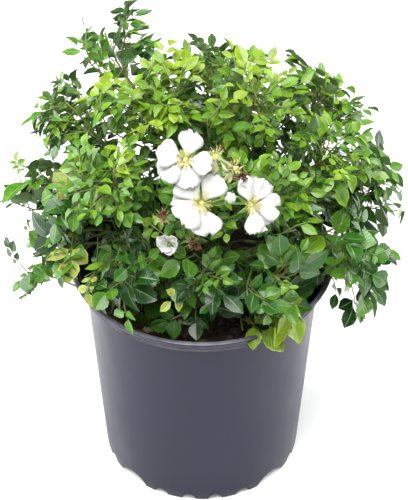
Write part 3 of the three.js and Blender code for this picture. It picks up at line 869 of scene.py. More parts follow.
def stamp_leaf(blades, stalks, leaf, form, slot_of, draw):
    """Stamps a compound leaf: a drooping stalk, and leaflets in pairs with one at its end."""
    droop = 0.05 + 0.06 * draw()
    reach = leaf.length * STALK_SHARES[form]
    height = min(max((leaf.base[2] - POT_HEIGHT) / NARROW_FROM, 0), 1)
    is_broad = form is BROAD_LEAF
    breadth = BROAD_BREADTH if is_broad else lerp(*BREADTHS, height)
    span = min(leaf.length, LONGEST_BROAD) if is_broad else leaf.length
    bend = leaf.heading * reach * 0.6 + leaf.normal * leaf.length * 0.04
    end = leaf.heading * reach - leaf.normal * leaf.length * droop * 0.4
    stalk = Curve(leaf.base, leaf.base + bend * 0.5, leaf.base + bend, leaf.base + end)
    stalks.tube(stalk, LEAF_STALK_RADIUS, 3, 3, slot=1)
    shapes = leaflets(leaf.is_small)
    for place, side, share in form:
        place = min(place, 0.999)
        splay = math.radians(side * (SPLAY + 14 * (draw() - 0.5)))
        heading = swung(stalk.heading(place), leaf.sideways, splay)
        heading = unit(heading + leaf.normal * 0.9 * (draw() - 0.52) + UP * 0.05)
        normal = leaf.normal + leaf.sideways * 1.4 * (draw() - 0.5) - leaf.sideways * side * 0.15
        normal = unit(normal - heading * (normal @ heading))
        length = span * share * (0.88 + 0.24 * draw())
        shape = shapes[int(draw() * len(shapes))]
        width = length * (0.85 + 0.2 * draw()) * breadth
        axes = np.array([heading * length, np.cross(normal, heading) * width, normal * length])
        blades.stamp(shape, stalk.at(place), axes, slot_of)


# The slots of a leaf mesh: six shades of blade, then the midrib and the underside. A leaf takes the
# first shade whose least score it has, and otherwise the dark one; the score stands partly for the
# leaf's age and partly for painted light and painted shade.
SHADES = ("young", "light", "mid", "deep", "dark", "yellowed")
LEAST_YOUTH_AND_LIGHT = (1.05, 0.85, 0.63, 0.41)
YOUNG_SLOT, LIGHT_SLOT, _, _, DARK_SLOT, YELLOWED_SLOT, MIDRIB_SLOT, UNDER_SLOT = range(8)
CROWN_HEIGHT = 0.19
# Leaves that hang this far out over the rim are young, and lighter at the front than this place.
OVER_RIM = 0.012
FRONT_OF_RIM = -0.1
# The share of yellowed leaves in the low masses at the front, and in the others at the sides.
YELLOWED_LOW = 0.17
YELLOWED_SIDE = 0.025


def shade_of(mass, leaf, draw):
    """Deals a leaf its shade: young near the tips, with painted light near the tips and the top and
    painted shade further in.
    """
    away = np.linalg.norm(leaf.base + leaf.heading * leaf.length * 0.5 - CENTRE) / mass.reach
    height = (leaf.base[2] - POT_HEIGHT) / CROWN_HEIGHT
    is_side = mass.elevation < SIDES_BELOW
    is_low = mass.name in LOW_MASSES
    # The score adds painted light and shade to the leaf's age: it grows with distance out and height,
    # so inner and low leaves take darker colours of painted shade.
    youth_and_light = 0.6 * away + 0.64 * height + (0.66 if is_side else 0.44) * (draw() - 0.5)
    youth_and_light -= 0.05 * leaf.is_small + 0.07 * is_side + 0.3 * (mass.name == LONG_SHOOT)
    tip = leaf.base + leaf.heading * leaf.length
    if is_low and np.hypot(tip[0], tip[1]) > RIM_RADIUS + OVER_RIM:
        return YOUNG_SLOT if tip[1] < FRONT_OF_RIM else LIGHT_SLOT
    if is_side and draw() < (YELLOWED_LOW if is_low else YELLOWED_SIDE):
        return YELLOWED_SLOT
    return next((slot for slot, least in enumerate(LEAST_YOUTH_AND_LIGHT) if youth_and_light > least), DARK_SLOT)


def grey(value):
    return (value, value, value)


def tinted(colour, amount):
    return tuple(min(channel * amount, 1) for channel in colour)


def two_tone(dark, pale):
    return [(0.35, dark), (0.65, pale)]


class Finish:
    """A procedural material, with short ways to add and join its nodes."""

    def __init__(self, name):
        self.material = bpy.data.materials.new(name)
        self.material.use_nodes = True
        self.tree = self.material.node_tree
        self.shader = self.tree.nodes["Principled BSDF"]
        coordinates = self.tree.nodes.new("ShaderNodeTexCoord")
        self.place = coordinates.outputs["Object"]
        self.own_map = coordinates.outputs["UV"]

    def feed(self, node, sockets):
        """Fills a node's inputs, each with a value or with another node's output."""
        for key, value in sockets.items():
            if isinstance(value, bpy.types.NodeSocket):
                self.tree.links.new(value, node.inputs[key])
            else:
                node.inputs[key].default_value = value

    def add(self, kind, sockets, **settings):
        node = self.tree.nodes.new("ShaderNode" + kind)
        for key, value in settings.items():
            setattr(node, key, value)
        self.feed(node, sockets)
        return node

    def axes(self, vector):
        return self.add("SeparateXYZ", {"Vector": vector}).outputs

    def stretched(self, vector, scale):
        return self.add("Mapping", {"Vector": vector, "Scale": scale}).outputs["Vector"]

    def noise(self, vector, scale, detail, roughness=0.5):
        sockets = {"Vector": vector, "Scale": scale, "Detail": detail, "Roughness": roughness}
        return self.add("TexNoise", sockets).outputs["Fac"]

    def sum(self, operation, *terms):
        """One operation of Blender's Math node on up to three terms."""
        return self.add("Math", dict(enumerate(terms)), operation=operation).outputs["Value"]

    def fitted(self, value, least, most, at_least, at_most):
        """A value between least and most, turned into one between two others."""
        sockets = {"Value": value, "From Min": least, "From Max": most, "To Min": at_least,
                   "To Max": at_most}
        return self.add("MapRange", sockets).outputs["Result"]

    def ramp(self, share, *stops):
        """A colour for each share; a stop is a position with a colour or with a number for grey."""
        node = self.add("ValToRGB", {"Fac": share})
        elements = node.color_ramp.elements
        while len(elements) < len(stops):
            elements.new(1)
        for element, (position, colour) in zip(elements, stops):
            element.position = position
            element.color = (*(grey(colour) if isinstance(colour, (int, float)) else colour), 1)
        return node.outputs["Color"]

    def blend(self, share, first, second):
        sockets = {"Fac": share, "Color1": first, "Color2": (*second, 1)}
        return self.add("MixRGB", sockets, blend_type="MIX").outputs["Color"]

    def bump(self, height, strength, distance, invert=False, **under):
        sockets = {"Height": height, "Strength": strength, "Distance": distance, **under}
        return self.add("Bump", sockets, invert=invert).outputs["Normal"]


def mottled(name, stops, scale, roughness, bump=0.2, bump_scale=None, depth=0.0005):
    """A finish whose colour wanders between stops, with its own fine relief."""
    finish = Finish(name)
    wander = finish.noise(finish.place, scale, 5, 0.6)
    grain = finish.noise(finish.place, bump_scale or scale * 6, 4)
    finish.feed(finish.shader, {
        "Base Color": finish.ramp(wander, *stops),
        "Roughness": finish.ramp(wander, (0.3, roughness[0]), (0.7, roughness[1])),
        "Normal": finish.bump(grain, bump, depth),
    })
    return finish.material


def leaf_finish(name, colour, gloss, spots=None):
    """A leaf blade: blotched a little, with paler side veins towards its teeth and a pale margin."""
    finish = Finish(name)
    blotch = finish.noise(finish.place, 170 if spots else 95, 3)
    stops = [(0.32, tinted(colour, 0.72)), (0.52, colour), (0.72, tinted(colour, 1.3))]
    if spots:
        stops = [(0.3, tinted(colour, 0.8)), (0.56, colour), (0.66, spots), (0.72, tinted(spots, 0.5))]
    vein_slant = -0.55
    vein_spacing = 0.055
    vein_width = 0.016
    axes = finish.axes(finish.own_map)
    from_midrib = finish.sum("ABSOLUTE", finish.sum("SUBTRACT", axes["Y"], 0.5))
    slanted = finish.sum("MULTIPLY_ADD", from_midrib, vein_slant, axes["X"])
    from_vein = finish.sum("PINGPONG", slanted, vein_spacing)
    vein = finish.fitted(from_vein, 0, vein_width, 1, 0)
    margin = finish.fitted(from_midrib, 0.41, 0.5, 0, 0.75)
    pale = finish.sum("MAXIMUM", finish.sum("MULTIPLY", vein, 0.35), margin)
    finish.feed(finish.shader, {
        "Base Color": finish.blend(pale, finish.ramp(blotch, *stops), tinted(colour, 1.9)),
        "Roughness": finish.ramp(blotch, (0.3, gloss), (0.7, gloss + 0.12)),
        "Normal": finish.bump(vein, 0.35, 0.0004, invert=True),
        "Specular IOR Level": 0.52,
    })
    return finish.material


def petal_finish(name, outer, inner, gloss=0.55):
    """A petal: its colour warms towards its foot, with fine creases along it."""
    finish = Finish(name)
    along = finish.axes(finish.own_map)["X"]
    crease = finish.noise(finish.stretched(finish.own_map, (3, 26, 1)), 1, 3)
    finish.feed(finish.shader, {
        "Base Color": finish.ramp(along, (0.02, inner), (0.3, outer), (1, tinted(outer, 1.03))),
        "Roughness": finish.ramp(crease, (0.35, gloss), (0.65, gloss + 0.15)),
        "Normal": finish.bump(crease, 0.55, 0.0009),
        "Subsurface Weight": 0.15,
        "Subsurface Radius": (0.004, 0.004, 0.003),
        "Subsurface Scale": 0.4,
    })
    return finish.material


class ROSE_OT_pot(bpy.types.Operator):
    """Turns the pot from its outline and cuts its drainage openings"""

    bl_idname = "rose.pot"
    bl_label = "Pot"
    bl_options = {"REGISTER", "UNDO"}

    # The drainage openings along the foot: small arches on each of four feet, scallops between.
    feet = 4
    arch_angles = (-24.5, -7.7, 7.7, 24.5)
    arch_radius = 0.0065
    arch_reach = (0.075, 0.096)
    scallop_radius = 0.019
    scallop_drop = 0.0085
    scallop_reach = (0.07, 0.098)
    foot_height = 0.012
    steps = 144
    sharp_from = math.radians(38)

    def outline(self, sizes):
        """The pot's outline from the middle of its underside, up its outside and down its inside."""
        rim = sizes.rim_radius
        ridge_top = RIDGE_Z + RIDGE_HEIGHT
        collar = rim - 0.0018
        inner_top = wall_radius(WALL_TOP_Z) - WALL
        return [
            (0, 0),
            (BASE_RADIUS - 0.0016, 0),
            (BASE_RADIUS - 0.0007, 0.0003),
            (BASE_RADIUS - 0.0002, 0.0008),
            (wall_radius(0.0016), 0.0016),
            (wall_radius(0.012), 0.012),
            (wall_radius(0.03), 0.03),
            (wall_radius(0.11), 0.11),
            (WALL_TOP_RADIUS, WALL_TOP_Z),
            (WALL_TOP_RADIUS + 0.0012, WALL_TOP_Z + 0.0012),
            (RIDGE_RADIUS - 0.0012, RIDGE_Z - 0.0005),
            (RIDGE_RADIUS - 0.0003, RIDGE_Z + 0.0001),
            (RIDGE_RADIUS, RIDGE_Z + 0.0006),
            (RIDGE_RADIUS - 0.0003, ridge_top - 0.0001),
            (RIDGE_RADIUS - 0.0008, ridge_top + 0.0002),
            (RIDGE_RADIUS - 0.0008, ridge_top + 0.001),
            (collar, POT_HEIGHT - 0.0045),
            (rim - 0.0007, POT_HEIGHT - 0.0022),
            (rim - 0.0001, POT_HEIGHT - 0.0015),
            (rim - 0.0001, POT_HEIGHT - 0.0009),
            (rim - 0.0006, POT_HEIGHT - 0.0003),
            (rim - 0.0014, POT_HEIGHT),
            (rim - 0.0028, POT_HEIGHT - 0.0001),
            (rim - sizes.lip_width + 0.0005, POT_HEIGHT - 0.0004),
            (rim - sizes.lip_width, POT_HEIGHT - 0.0012),
            (RIDGE_RADIUS - 0.0026, ridge_top + 0.0008),
            (RIDGE_RADIUS - 0.0034, ridge_top - 0.0006),
            (inner_top, WALL_TOP_Z),
            (wall_radius(0.11) - WALL, 0.11),
            (wall_radius(0.012) - WALL, 0.012),
            (wall_radius(WALL) - WALL - 0.0003, WALL + 0.0006),
            (wall_radius(WALL) - WALL - 0.0012, WALL),
            (0, WALL),
        ]

    def execute(self, context):
        sizes = context.scene.rose_pot
        whole = turned_shape(self.outline(sizes), self.steps)
        pot = place_object("pot_shell", mesh_from(whole, "pot_shell"))
        cutters = self.cutters()
        cut = pot.modifiers.new("drainage", "BOOLEAN")
        cut.operation = "DIFFERENCE"
        cut.solver = "EXACT"
        cut.object = cutters
        graph = context.evaluated_depsgraph_get()
        finished = bpy.data.meshes.new_from_object(pot.evaluated_get(graph), depsgraph=graph)
        pot.modifiers.clear()
        pot.data = finished
        bpy.data.objects.remove(cutters)
        finished.shade_smooth()
        finished.set_sharp_from_angle(angle=self.sharp_from)
        finished.materials.clear()
        finished.materials.append(self.plastic(sizes))
        # The darker matte copy of the plastic is painted shade for the inside and the openings' cut
        # edges.
        shaded = two_tone(tinted(sizes.inside, 0.6), sizes.inside)
        finished.materials.append(mottled("shaded_plastic", shaded, 90, (0.6, 0.8), bump=0.1))
        self.paint_inner_shade(finished)
        finish_piece(pot, "pot_plastic", "pot")
        return {"FINISHED"}

    def paint_inner_shade(self, mesh):
        """Gives the inner wall, the underside and the cut edges of the openings the darker, matte copy
        of the plastic, which is painted shade.
        """
        for face in mesh.polygons:
            x, y, z = face.center
            radius = math.hypot(x, y)
            outward = (face.normal.x * x + face.normal.y * y) / max(radius, WALL)
            is_cut = z < self.foot_height and outward < 0.9
            is_inner = z < WALL_TOP_Z and outward < -0.5
            face.material_index = 1 if is_cut or is_inner else 0

    def cutters(self):
        bm = bmesh.new()
        for foot in range(self.feet):
            facing = -90 + foot * 360 / self.feet
            for angle in self.arch_angles:
                self.add_cutter(bm, facing + angle, self.arch_radius, 0, 24, self.arch_reach)
            between = facing + 180 / self.feet
            self.add_cutter(bm, between, self.scallop_radius, -self.scallop_drop, 48,
                            self.scallop_reach)
        return place_object("drainage_cutters", mesh_from(bm, "drainage_cutters"))

    def add_cutter(self, bm, azimuth, radius, z, segments, reach):
        placed = (
            Matrix.Rotation(math.radians(azimuth), 4, "Z")
            @ Matrix.Translation(((reach[0] + reach[1]) / 2, 0, z))
            @ Matrix.Rotation(math.radians(90), 4, "Y")
        )
        bmesh.ops.create_cone(bm, cap_ends=True, segments=segments, radius1=radius, radius2=radius,
                              depth=reach[1] - reach[0], matrix=placed)

    def plastic(self, sizes):
        """Dark moulded plastic: satin, a little wavy, scuffed dull in patches, with a painted
        highlight on its lip and ridge.
        """
        finish = Finish("moulded_plastic")
        patches = finish.noise(finish.stretched(finish.place, (1, 1, 0.35)), 26, 6, 0.65)
        colours = finish.ramp(patches, (0.38, sizes.plastic), (0.62, tinted(sizes.plastic, 1.22)),
                              (0.78, sizes.scuffs))
        wave = finish.bump(finish.noise(finish.place, 9, 1), 0.3, 0.004)
        grain = finish.noise(finish.place, 900, 2)
        finish.feed(finish.shader, {
            # The lip and the ridge take the painted highlight colour where the mask is on.
            "Base Color": finish.blend(self.painted_highlights(finish), colours, sizes.lip_highlight),
            "Roughness": finish.ramp(patches, (0.35, 0.3), (0.7, 0.42)),
            "Normal": finish.bump(grain, 0.08, 0.0003, Normal=wave),
            "Specular IOR Level": 0.31,
        })
        return finish.material

    def painted_highlights(self, finish):
        """A mask of the lip's top and of the ridge, where a pale painted highlight stands in for the
        light that their rounded edges catch.
        """
        height = finish.axes(finish.place)["Z"]
        lip = finish.sum("COMPARE", height, POT_HEIGHT, 0.0008)
        ridge = finish.sum("COMPARE", height, RIDGE_Z + RIDGE_HEIGHT, 0.0007)
        uneven = finish.ramp(finish.noise(finish.place, 60, 3), (0.3, 0.35), (0.65, 1))
        return finish.sum("MULTIPLY", finish.sum("ADD", lip, ridge), uneven)


class ROSE_OT_potting_mix(bpy.types.Operator):
    """Fills the pot with a rough plug of potting mix and strews bark chips on it"""

    bl_idname = "rose.potting_mix"
    bl_label = "Potting mix"
    bl_options = {"REGISTER", "UNDO"}

    edge_gap = 0.0005
    bottom_radius = 0.068
    bottom_edge = 0.017
    ring_count = 34
    steps = 120
    bare_round_stem = 0.026
    chips_off_edge = 0.006
    chip_lift = 0.0006
    chip_shapes = 5
    chip_seed = 200
    most_tilt = 0.9
    seed = 71

    # The chips' colours, as (name, dark tone, pale tone, least roughness). The last is the rarest.
    chip_tones = (
        ("chip_red_brown", (0.05, 0.02, 0.012), (0.11, 0.045, 0.022), 0.7),
        ("chip_brown", (0.035, 0.02, 0.012), (0.085, 0.05, 0.03), 0.7),
        ("chip_black", (0.012, 0.009, 0.008), (0.04, 0.028, 0.02), 0.6),
        ("chip_pale", (0.3, 0.21, 0.13), (0.46, 0.36, 0.25), 0.7),
    )
    tones_drawn = 3.25

    def execute(self, context):
        sizes = context.scene.rose_pot
        edge = wall_radius(SOIL_TOP) - WALL - self.edge_gap
        rings = [(edge * share, SOIL_TOP) for share in np.linspace(1, 0, self.ring_count)]
        outline = [(0, WALL + GAP), (self.bottom_radius, WALL + GAP),
                   (wall_radius(self.bottom_edge) - WALL - self.edge_gap, self.bottom_edge), *rings]
        bm = turned_shape(outline, self.steps)
        for vert in bm.verts:
            if vert.co.z > SOIL_TOP - 0.001:
                vert.co.z += self.height_at(vert.co.x, vert.co.y)
        mesh = mesh_from(bm, "potting_mix_plug")
        mesh.shade_smooth()
        stops = [(0.3, tinted(sizes.mix, 0.45)), (0.52, sizes.mix), (0.68, (0.06, 0.03, 0.018))]
        mesh.materials.append(
            mottled("moist_mix", stops, 160, (0.75, 1), bump=0.9, bump_scale=420, depth=0.0016)
        )
        finish_piece(place_object("potting_mix_plug", mesh), "potting_mix", "potting_mix")
        self.strew_chips(sizes, edge)
        return {"FINISHED"}

    def height_at(self, x, y):
        """The mix's unevenness at a place, level with the solid where the stem and canes stand."""
        bumps = noise.fractal(Vector((x * 45, y * 45, 3)), 1, 2, 4) * SOIL_ROUGHNESS
        edge_share = min(max(math.hypot(x, y) / 0.03 - 0.8, 0), 1)
        return bumps * (0.3 + 0.7 * edge_share)

    def chip(self, seed):
        """An angular flake of bark."""
        draw = seeded(seed)
        bm = bmesh.new()
        layer = bm.verts.layers.float_vector.new("place")
        bmesh.ops.create_cube(bm, size=1)
        bmesh.ops.subdivide_edges(bm, edges=bm.edges, cuts=1, use_grid_fill=True)
        for vert in bm.verts:
            jitter = Vector((draw() - 0.5, draw() - 0.5, draw() - 0.5)) * 0.42
            vert.co = (vert.co.normalized() * 0.62 + vert.co * 0.4 + jitter) * 0.7
            vert[layer] = (draw(), draw(), 0)
        return Shape(bm, layer)

    def strew_chips(self, sizes, edge):
        draw = seeded(self.seed)
        chips = [self.chip(self.chip_seed + i) for i in range(self.chip_shapes)]
        heap = Heap()
        for index in range(sizes.chip_count):
            radius = math.sqrt(draw()) * (edge - self.chips_off_edge)
            turn = 2 * math.pi * draw()
            x, y = radius * math.cos(turn), radius * math.sin(turn)
            if radius < self.bare_round_stem:
                continue
            length = 0.0035 + 0.008 * draw() ** 2
            spin = Matrix.Rotation(2 * math.pi * draw(), 3, "Z")
            tilt = Matrix.Rotation(self.most_tilt * (draw() - 0.5), 3, "X")
            tilt = tilt @ Matrix.Rotation(self.most_tilt * (draw() - 0.5), 3, "Y")
            breadth = length * (0.35 + 0.3 * draw())
            size = Matrix.Diagonal((length, breadth, length * (0.18 + 0.2 * draw())))
            axes = np.array((spin @ tilt @ size).transposed())
            centre = np.array([x, y, SOIL_TOP + self.height_at(x, y) + self.chip_lift])
            chip = chips[index % self.chip_shapes]
            heap.stamp(chip, centre, axes, [int(draw() * self.tones_drawn)])
        finishes = [mottled(name, [(0.35, dark), (0.6, pale)], 210, (least, 0.9))
                    for name, dark, pale, least in self.chip_tones]
        finish_piece(heap.build("bark_chips", finishes, sharp=30), "potting_mix")


class ROSE_OT_canes(bpy.types.Operator):
    """Grows the woody stem base and the canes, with bark relief and prickles"""

    bl_idname = "rose.canes"
    bl_label = "Stem base and canes"
    bl_options = {"REGISTER", "UNDO"}

    steps = 40
    cane_prickles = 4

    def execute(self, context):
        bark = context.scene.rose_crown.cane_bark
        green = context.scene.rose_crown.young_bark
        old = [(0.3, tinted(bark, 0.35)), (0.5, bark), (0.7, (0.26, 0.2, 0.12))]
        woody = mottled("woody_bark", old, 240, (0.7, 0.95), bump=0.8, depth=0.0009)
        young = [(0.32, tinted(bark, 0.6)), (0.5, (0.055, 0.055, 0.018)), (0.7, tinted(green, 0.5))]
        cane_bark = mottled("cane_bark", young, 70, (0.45, 0.7), bump=0.4)
        red_brown = [(0.3, (0.25, 0.07, 0.03)), (0.7, (0.4, 0.2, 0.08))]
        prickle = mottled("prickle", red_brown, 150, (0.4, 0.6))
        self.stem_base(woody)
        canes = Heap()
        thorns = Heap()
        for mass in masses():
            canes.tube(mass.cane, CANE_RADIUS, 10, 26, bulge=self.knots(mass.seed))
            strew_prickles(thorns, mass.cane, CANE_RADIUS, self.cane_prickles,
                           mass.seed + CANE_PRICKLE_DRAWS)
        nodes = ["cane_" + name for name in MASSES]
        finish_piece(canes.build("canes", [cane_bark]), "bark", *nodes)
        finish_piece(thorns.build("cane_prickles", [prickle]), "bark")
        return {"FINISHED"}

    def knots(self, seed):
        """Swellings at a cane's nodes, and uneven bark between them."""

        def bulge(share, turn):
            spot = Vector((share * 9, math.cos(turn), math.sin(turn) + seed))
            ring = max(0, math.cos(share * 2 * math.pi * 3 + seed)) ** 12
            return 1 + 0.1 * noise.noise(spot) + 0.22 * ring

        return bulge

    def stem_base(self, material):
        height = STEM_PROFILE[-1][0]
        outline = [(0, 0), *[(radius, z) for z, radius in STEM_PROFILE], (0, height)]
        bm = turned_shape(outline, self.steps)
        upright = [edge for edge in bm.edges if abs(edge.verts[0].co.z - edge.verts[1].co.z) > 0.002]
        bmesh.ops.subdivide_edges(bm, edges=upright, cuts=4)
        for vert in bm.verts:
            turn = math.atan2(vert.co.y, vert.co.x)
            spot = Vector((math.cos(turn) * 3, math.sin(turn) * 3, vert.co.z * 60))
            swell = 1 + 0.14 * noise.noise(spot) if vert.co.z > 0.0005 else 1
            share = vert.co.z / height
            vert.co.x = vert.co.x * swell + STEM_LEAN[0] * share
            vert.co.y = vert.co.y * swell + STEM_LEAN[1] * share
            vert.co.z += SOIL_TOP + GAP
        mesh = mesh_from(bm, "woody_stem_base")
        mesh.shade_smooth()
        mesh.materials.append(material)
        finish_piece(place_object("woody_stem_base", mesh), "bark", "stem_base")


PRICKLE_LENGTH = 0.0018
PRICKLE_HOOK = 0.0008
PRICKLE_RADIUS = (0.00055, 0.00008)


def strew_prickles(heap, curve, radii, count, seed):
    """Small hooked prickles round a limb."""
    draw = seeded(seed)
    for index in range(count):
        share = (index + 0.3 + 0.5 * draw()) / count
        along = curve.heading(share)
        out = rotated(unit(np.cross(along, UP + 0.01)), along, 360 * draw())
        foot = curve.at(share) + out * lerp(*radii, share) * 0.6
        tip = foot + out * PRICKLE_LENGTH - along * PRICKLE_HOOK
        hook = Curve(foot, foot + out * PRICKLE_HOOK, tip + along * 0.0003, tip)
        heap.tube(hook, PRICKLE_RADIUS, 4, 3)


class ROSE_OT_foliage(bpy.types.Operator):
    """Grows the stems, twigs and compound leaves of every mass of the crown"""

    bl_idname = "rose.foliage"
    bl_label = "Twigs and leaves"
    bl_options = {"REGISTER", "UNDO"}

    groups = {
        "leaves_front": ("front_low", "front_left_low", "front_right_low", "front_mid",
                         "front_left_inner", "front_right_inner", "front_crest",
                         "front_crest_right", "front_left_high"),
        "leaves_left": ("left_low", "front_left_mid", "left_mid", "left_high", "top_left",
                        "top_left_shoot"),
        "leaves_right": ("right_low", "right_mid", "front_right_mid", "right_high",
                         "front_right_high", "top_right"),
        "leaves_back": ("back_left_low", "back_low", "back_right_low", "back_mid", "top_back"),
    }
    gloss = 0.18
    dull_gloss = 0.45
    brown_spots = (0.3, 0.14, 0.05)
    stem_prickles = 9
    long_leaf = 0.03

    # The share of leaves that take the first of the two forms dealt out in each place.
    broad_low = 0.8
    broad_side = 0.6
    three_small = 0.6
    seven_large = 0.55

    def execute(self, context):
        colours = context.scene.rose_crown
        finishes = [leaf_finish("leaf_" + shade, getattr(colours, "leaf_" + shade), self.gloss)
                    for shade in SHADES[:YELLOWED_SLOT]]
        finishes.append(leaf_finish("leaf_yellowed", colours.leaf_yellowed, self.dull_gloss,
                                    self.brown_spots))
        under = two_tone(tinted(colours.leaf_under, 0.8), tinted(colours.leaf_under, 1.2))
        midrib = two_tone((0.11, 0.21, 0.035), (0.22, 0.34, 0.08))
        finishes.append(mottled("leaf_midrib", midrib, 120, (0.45, 0.6)))
        finishes.append(mottled("leaf_under", under, 120, (0.6, 0.75)))
        young = colours.young_bark
        bark = [(0.3, (0.07, 0.05, 0.02)), (0.5, young), (0.7, tinted(young, 1.3))]
        stalk = two_tone((0.13, 0.2, 0.035), (0.22, 0.29, 0.06))
        limb_finishes = [mottled("twig_bark", bark, 55, (0.45, 0.65)),
                         mottled("leaf_stalk", stalk, 90, (0.45, 0.6))]
        for name, members in self.groups.items():
            self.build_group(name, members, finishes, limb_finishes)
        return {"FINISHED"}

    def build_group(self, name, members, finishes, limb_finishes):
        blades = Heap()
        limbs = Heap()
        for mass, twigs, leaves, shoots, small in crown():
            if mass.name not in members:
                continue
            limbs.tube(mass.stem, FINE_STEM_RADIUS, 8, 14)
            strew_prickles(limbs, mass.stem, FINE_STEM_RADIUS, self.stem_prickles,
                           mass.seed + STEM_PRICKLE_DRAWS)
            for twig in twigs:
                limbs.tube(twig, TWIG_RADIUS, 6, 8)
            for shoot in shoots:
                limbs.tube(shoot, SHOOT_RADIUS, 5, 4)
            for index, leaf in enumerate([*leaves, *small]):
                draw = seeded(mass.seed + SHADE_DRAWS + index)
                slot_of = [shade_of(mass, leaf, draw), MIDRIB_SLOT, UNDER_SLOT]
                stamp_leaf(blades, limbs, leaf, self.form_of(mass, leaf, draw), slot_of, draw)
        nodes = ["foliage_" + member for member in members]
        finish_piece(blades.build(name, finishes, sharp=70, sway=True), "leaf", *nodes)
        finish_piece(limbs.build(name.replace("leaves", "twigs"), limb_finishes, sway=True), "leaf")

    def form_of(self, mass, leaf, draw):
        """Deals a leaf its leaflets: broad and few low down, small and many higher up."""
        if mass.name in LOW_MASSES:
            return BROAD_LEAF if draw() < self.broad_low else FIVE_LEAF
        if mass.elevation < SIDES_BELOW and leaf.length > self.long_leaf:
            return BROAD_LEAF if draw() < self.broad_side else FIVE_LEAF
        if leaf.is_small:
            return THREE_LEAF if draw() < self.three_small else FIVE_LEAF
        return SEVEN_LEAF if draw() < self.seven_large else FIVE_LEAF


def facing_axes(facing):
    """The directions right, up and forward of a head that faces one way, as rows."""
    front = unit(np.array(facing, dtype=float))
    up = unit(UP - front * front[2])
    return np.array([np.cross(up, front), up, front])


def sized(axes, size):
    """The same directions, each with a length of its own."""
    return axes * np.array(size)[:, None]


def petal(seed, width=1.0, ruffle=1.0, cup=1.0):
    """A petal one unit long: round, notched at its tip, dished, bent back and ruffled."""
    draw = seeded(seed)
    phases = [2 * math.pi * draw() for _ in range(4)]
    skew = 0.12 * (draw() - 0.5)
    notch = 0.05 + 0.07 * draw()
    columns = (-1, -0.68, -0.34, 0, 0.34, 0.68, 1)
    broadest = 0.64

    def place(along, across, station):
        rise = min(along / broadest, 1)
        half = 0.05 + 0.41 * rise * rise * (3 - 2 * rise)
        if along > broadest:
            half *= math.sqrt(1 - ((along - broadest) / 0.4) ** 2)
        tip = along**3
        x = along - 0.1 * across**2 * tip - notch * math.exp(-((across / 0.24) ** 2)) * along**6
        y = half * width * across + skew * along * along
        wave = 0.05 * math.sin(4.4 * across + phases[0]) + 0.03 * math.sin(8.2 * across + phases[1])
        crumple = 0.025 * math.sin(7 * along + 3 * across + phases[2])
        dish = cup * (0.34 * along - 0.27 * along * along + 0.15 * across * across * along)
        return Vector((x, y, dish + ruffle * along * along * (wave + crumple)))

    return blade(9, columns, place, 0.022)


def sepal():
    """A narrow pointed sepal one unit long."""

    def place(along, across, station):
        half = 0.17 * math.sin(math.pi * along**0.62) ** 0.9 if 0 < along < 1 else 0
        return Vector((along, half * across, 0.25 * abs(half * across) - 0.12 * along * along))

    return blade(6, (-1, 0, 1), place, 0.03)


def ball(subdivisions):
    """A round body with a radius of one unit, to be stretched."""
    bm = bmesh.new()
    layer = bm.verts.layers.float_vector.new("place")
    bmesh.ops.create_icosphere(bm, subdivisions=subdivisions, radius=1)
    for vert in bm.verts:
        vert[layer] = ((vert.co.x + 1) / 2, vert.co.y, 0)
    return Shape(bm, layer)


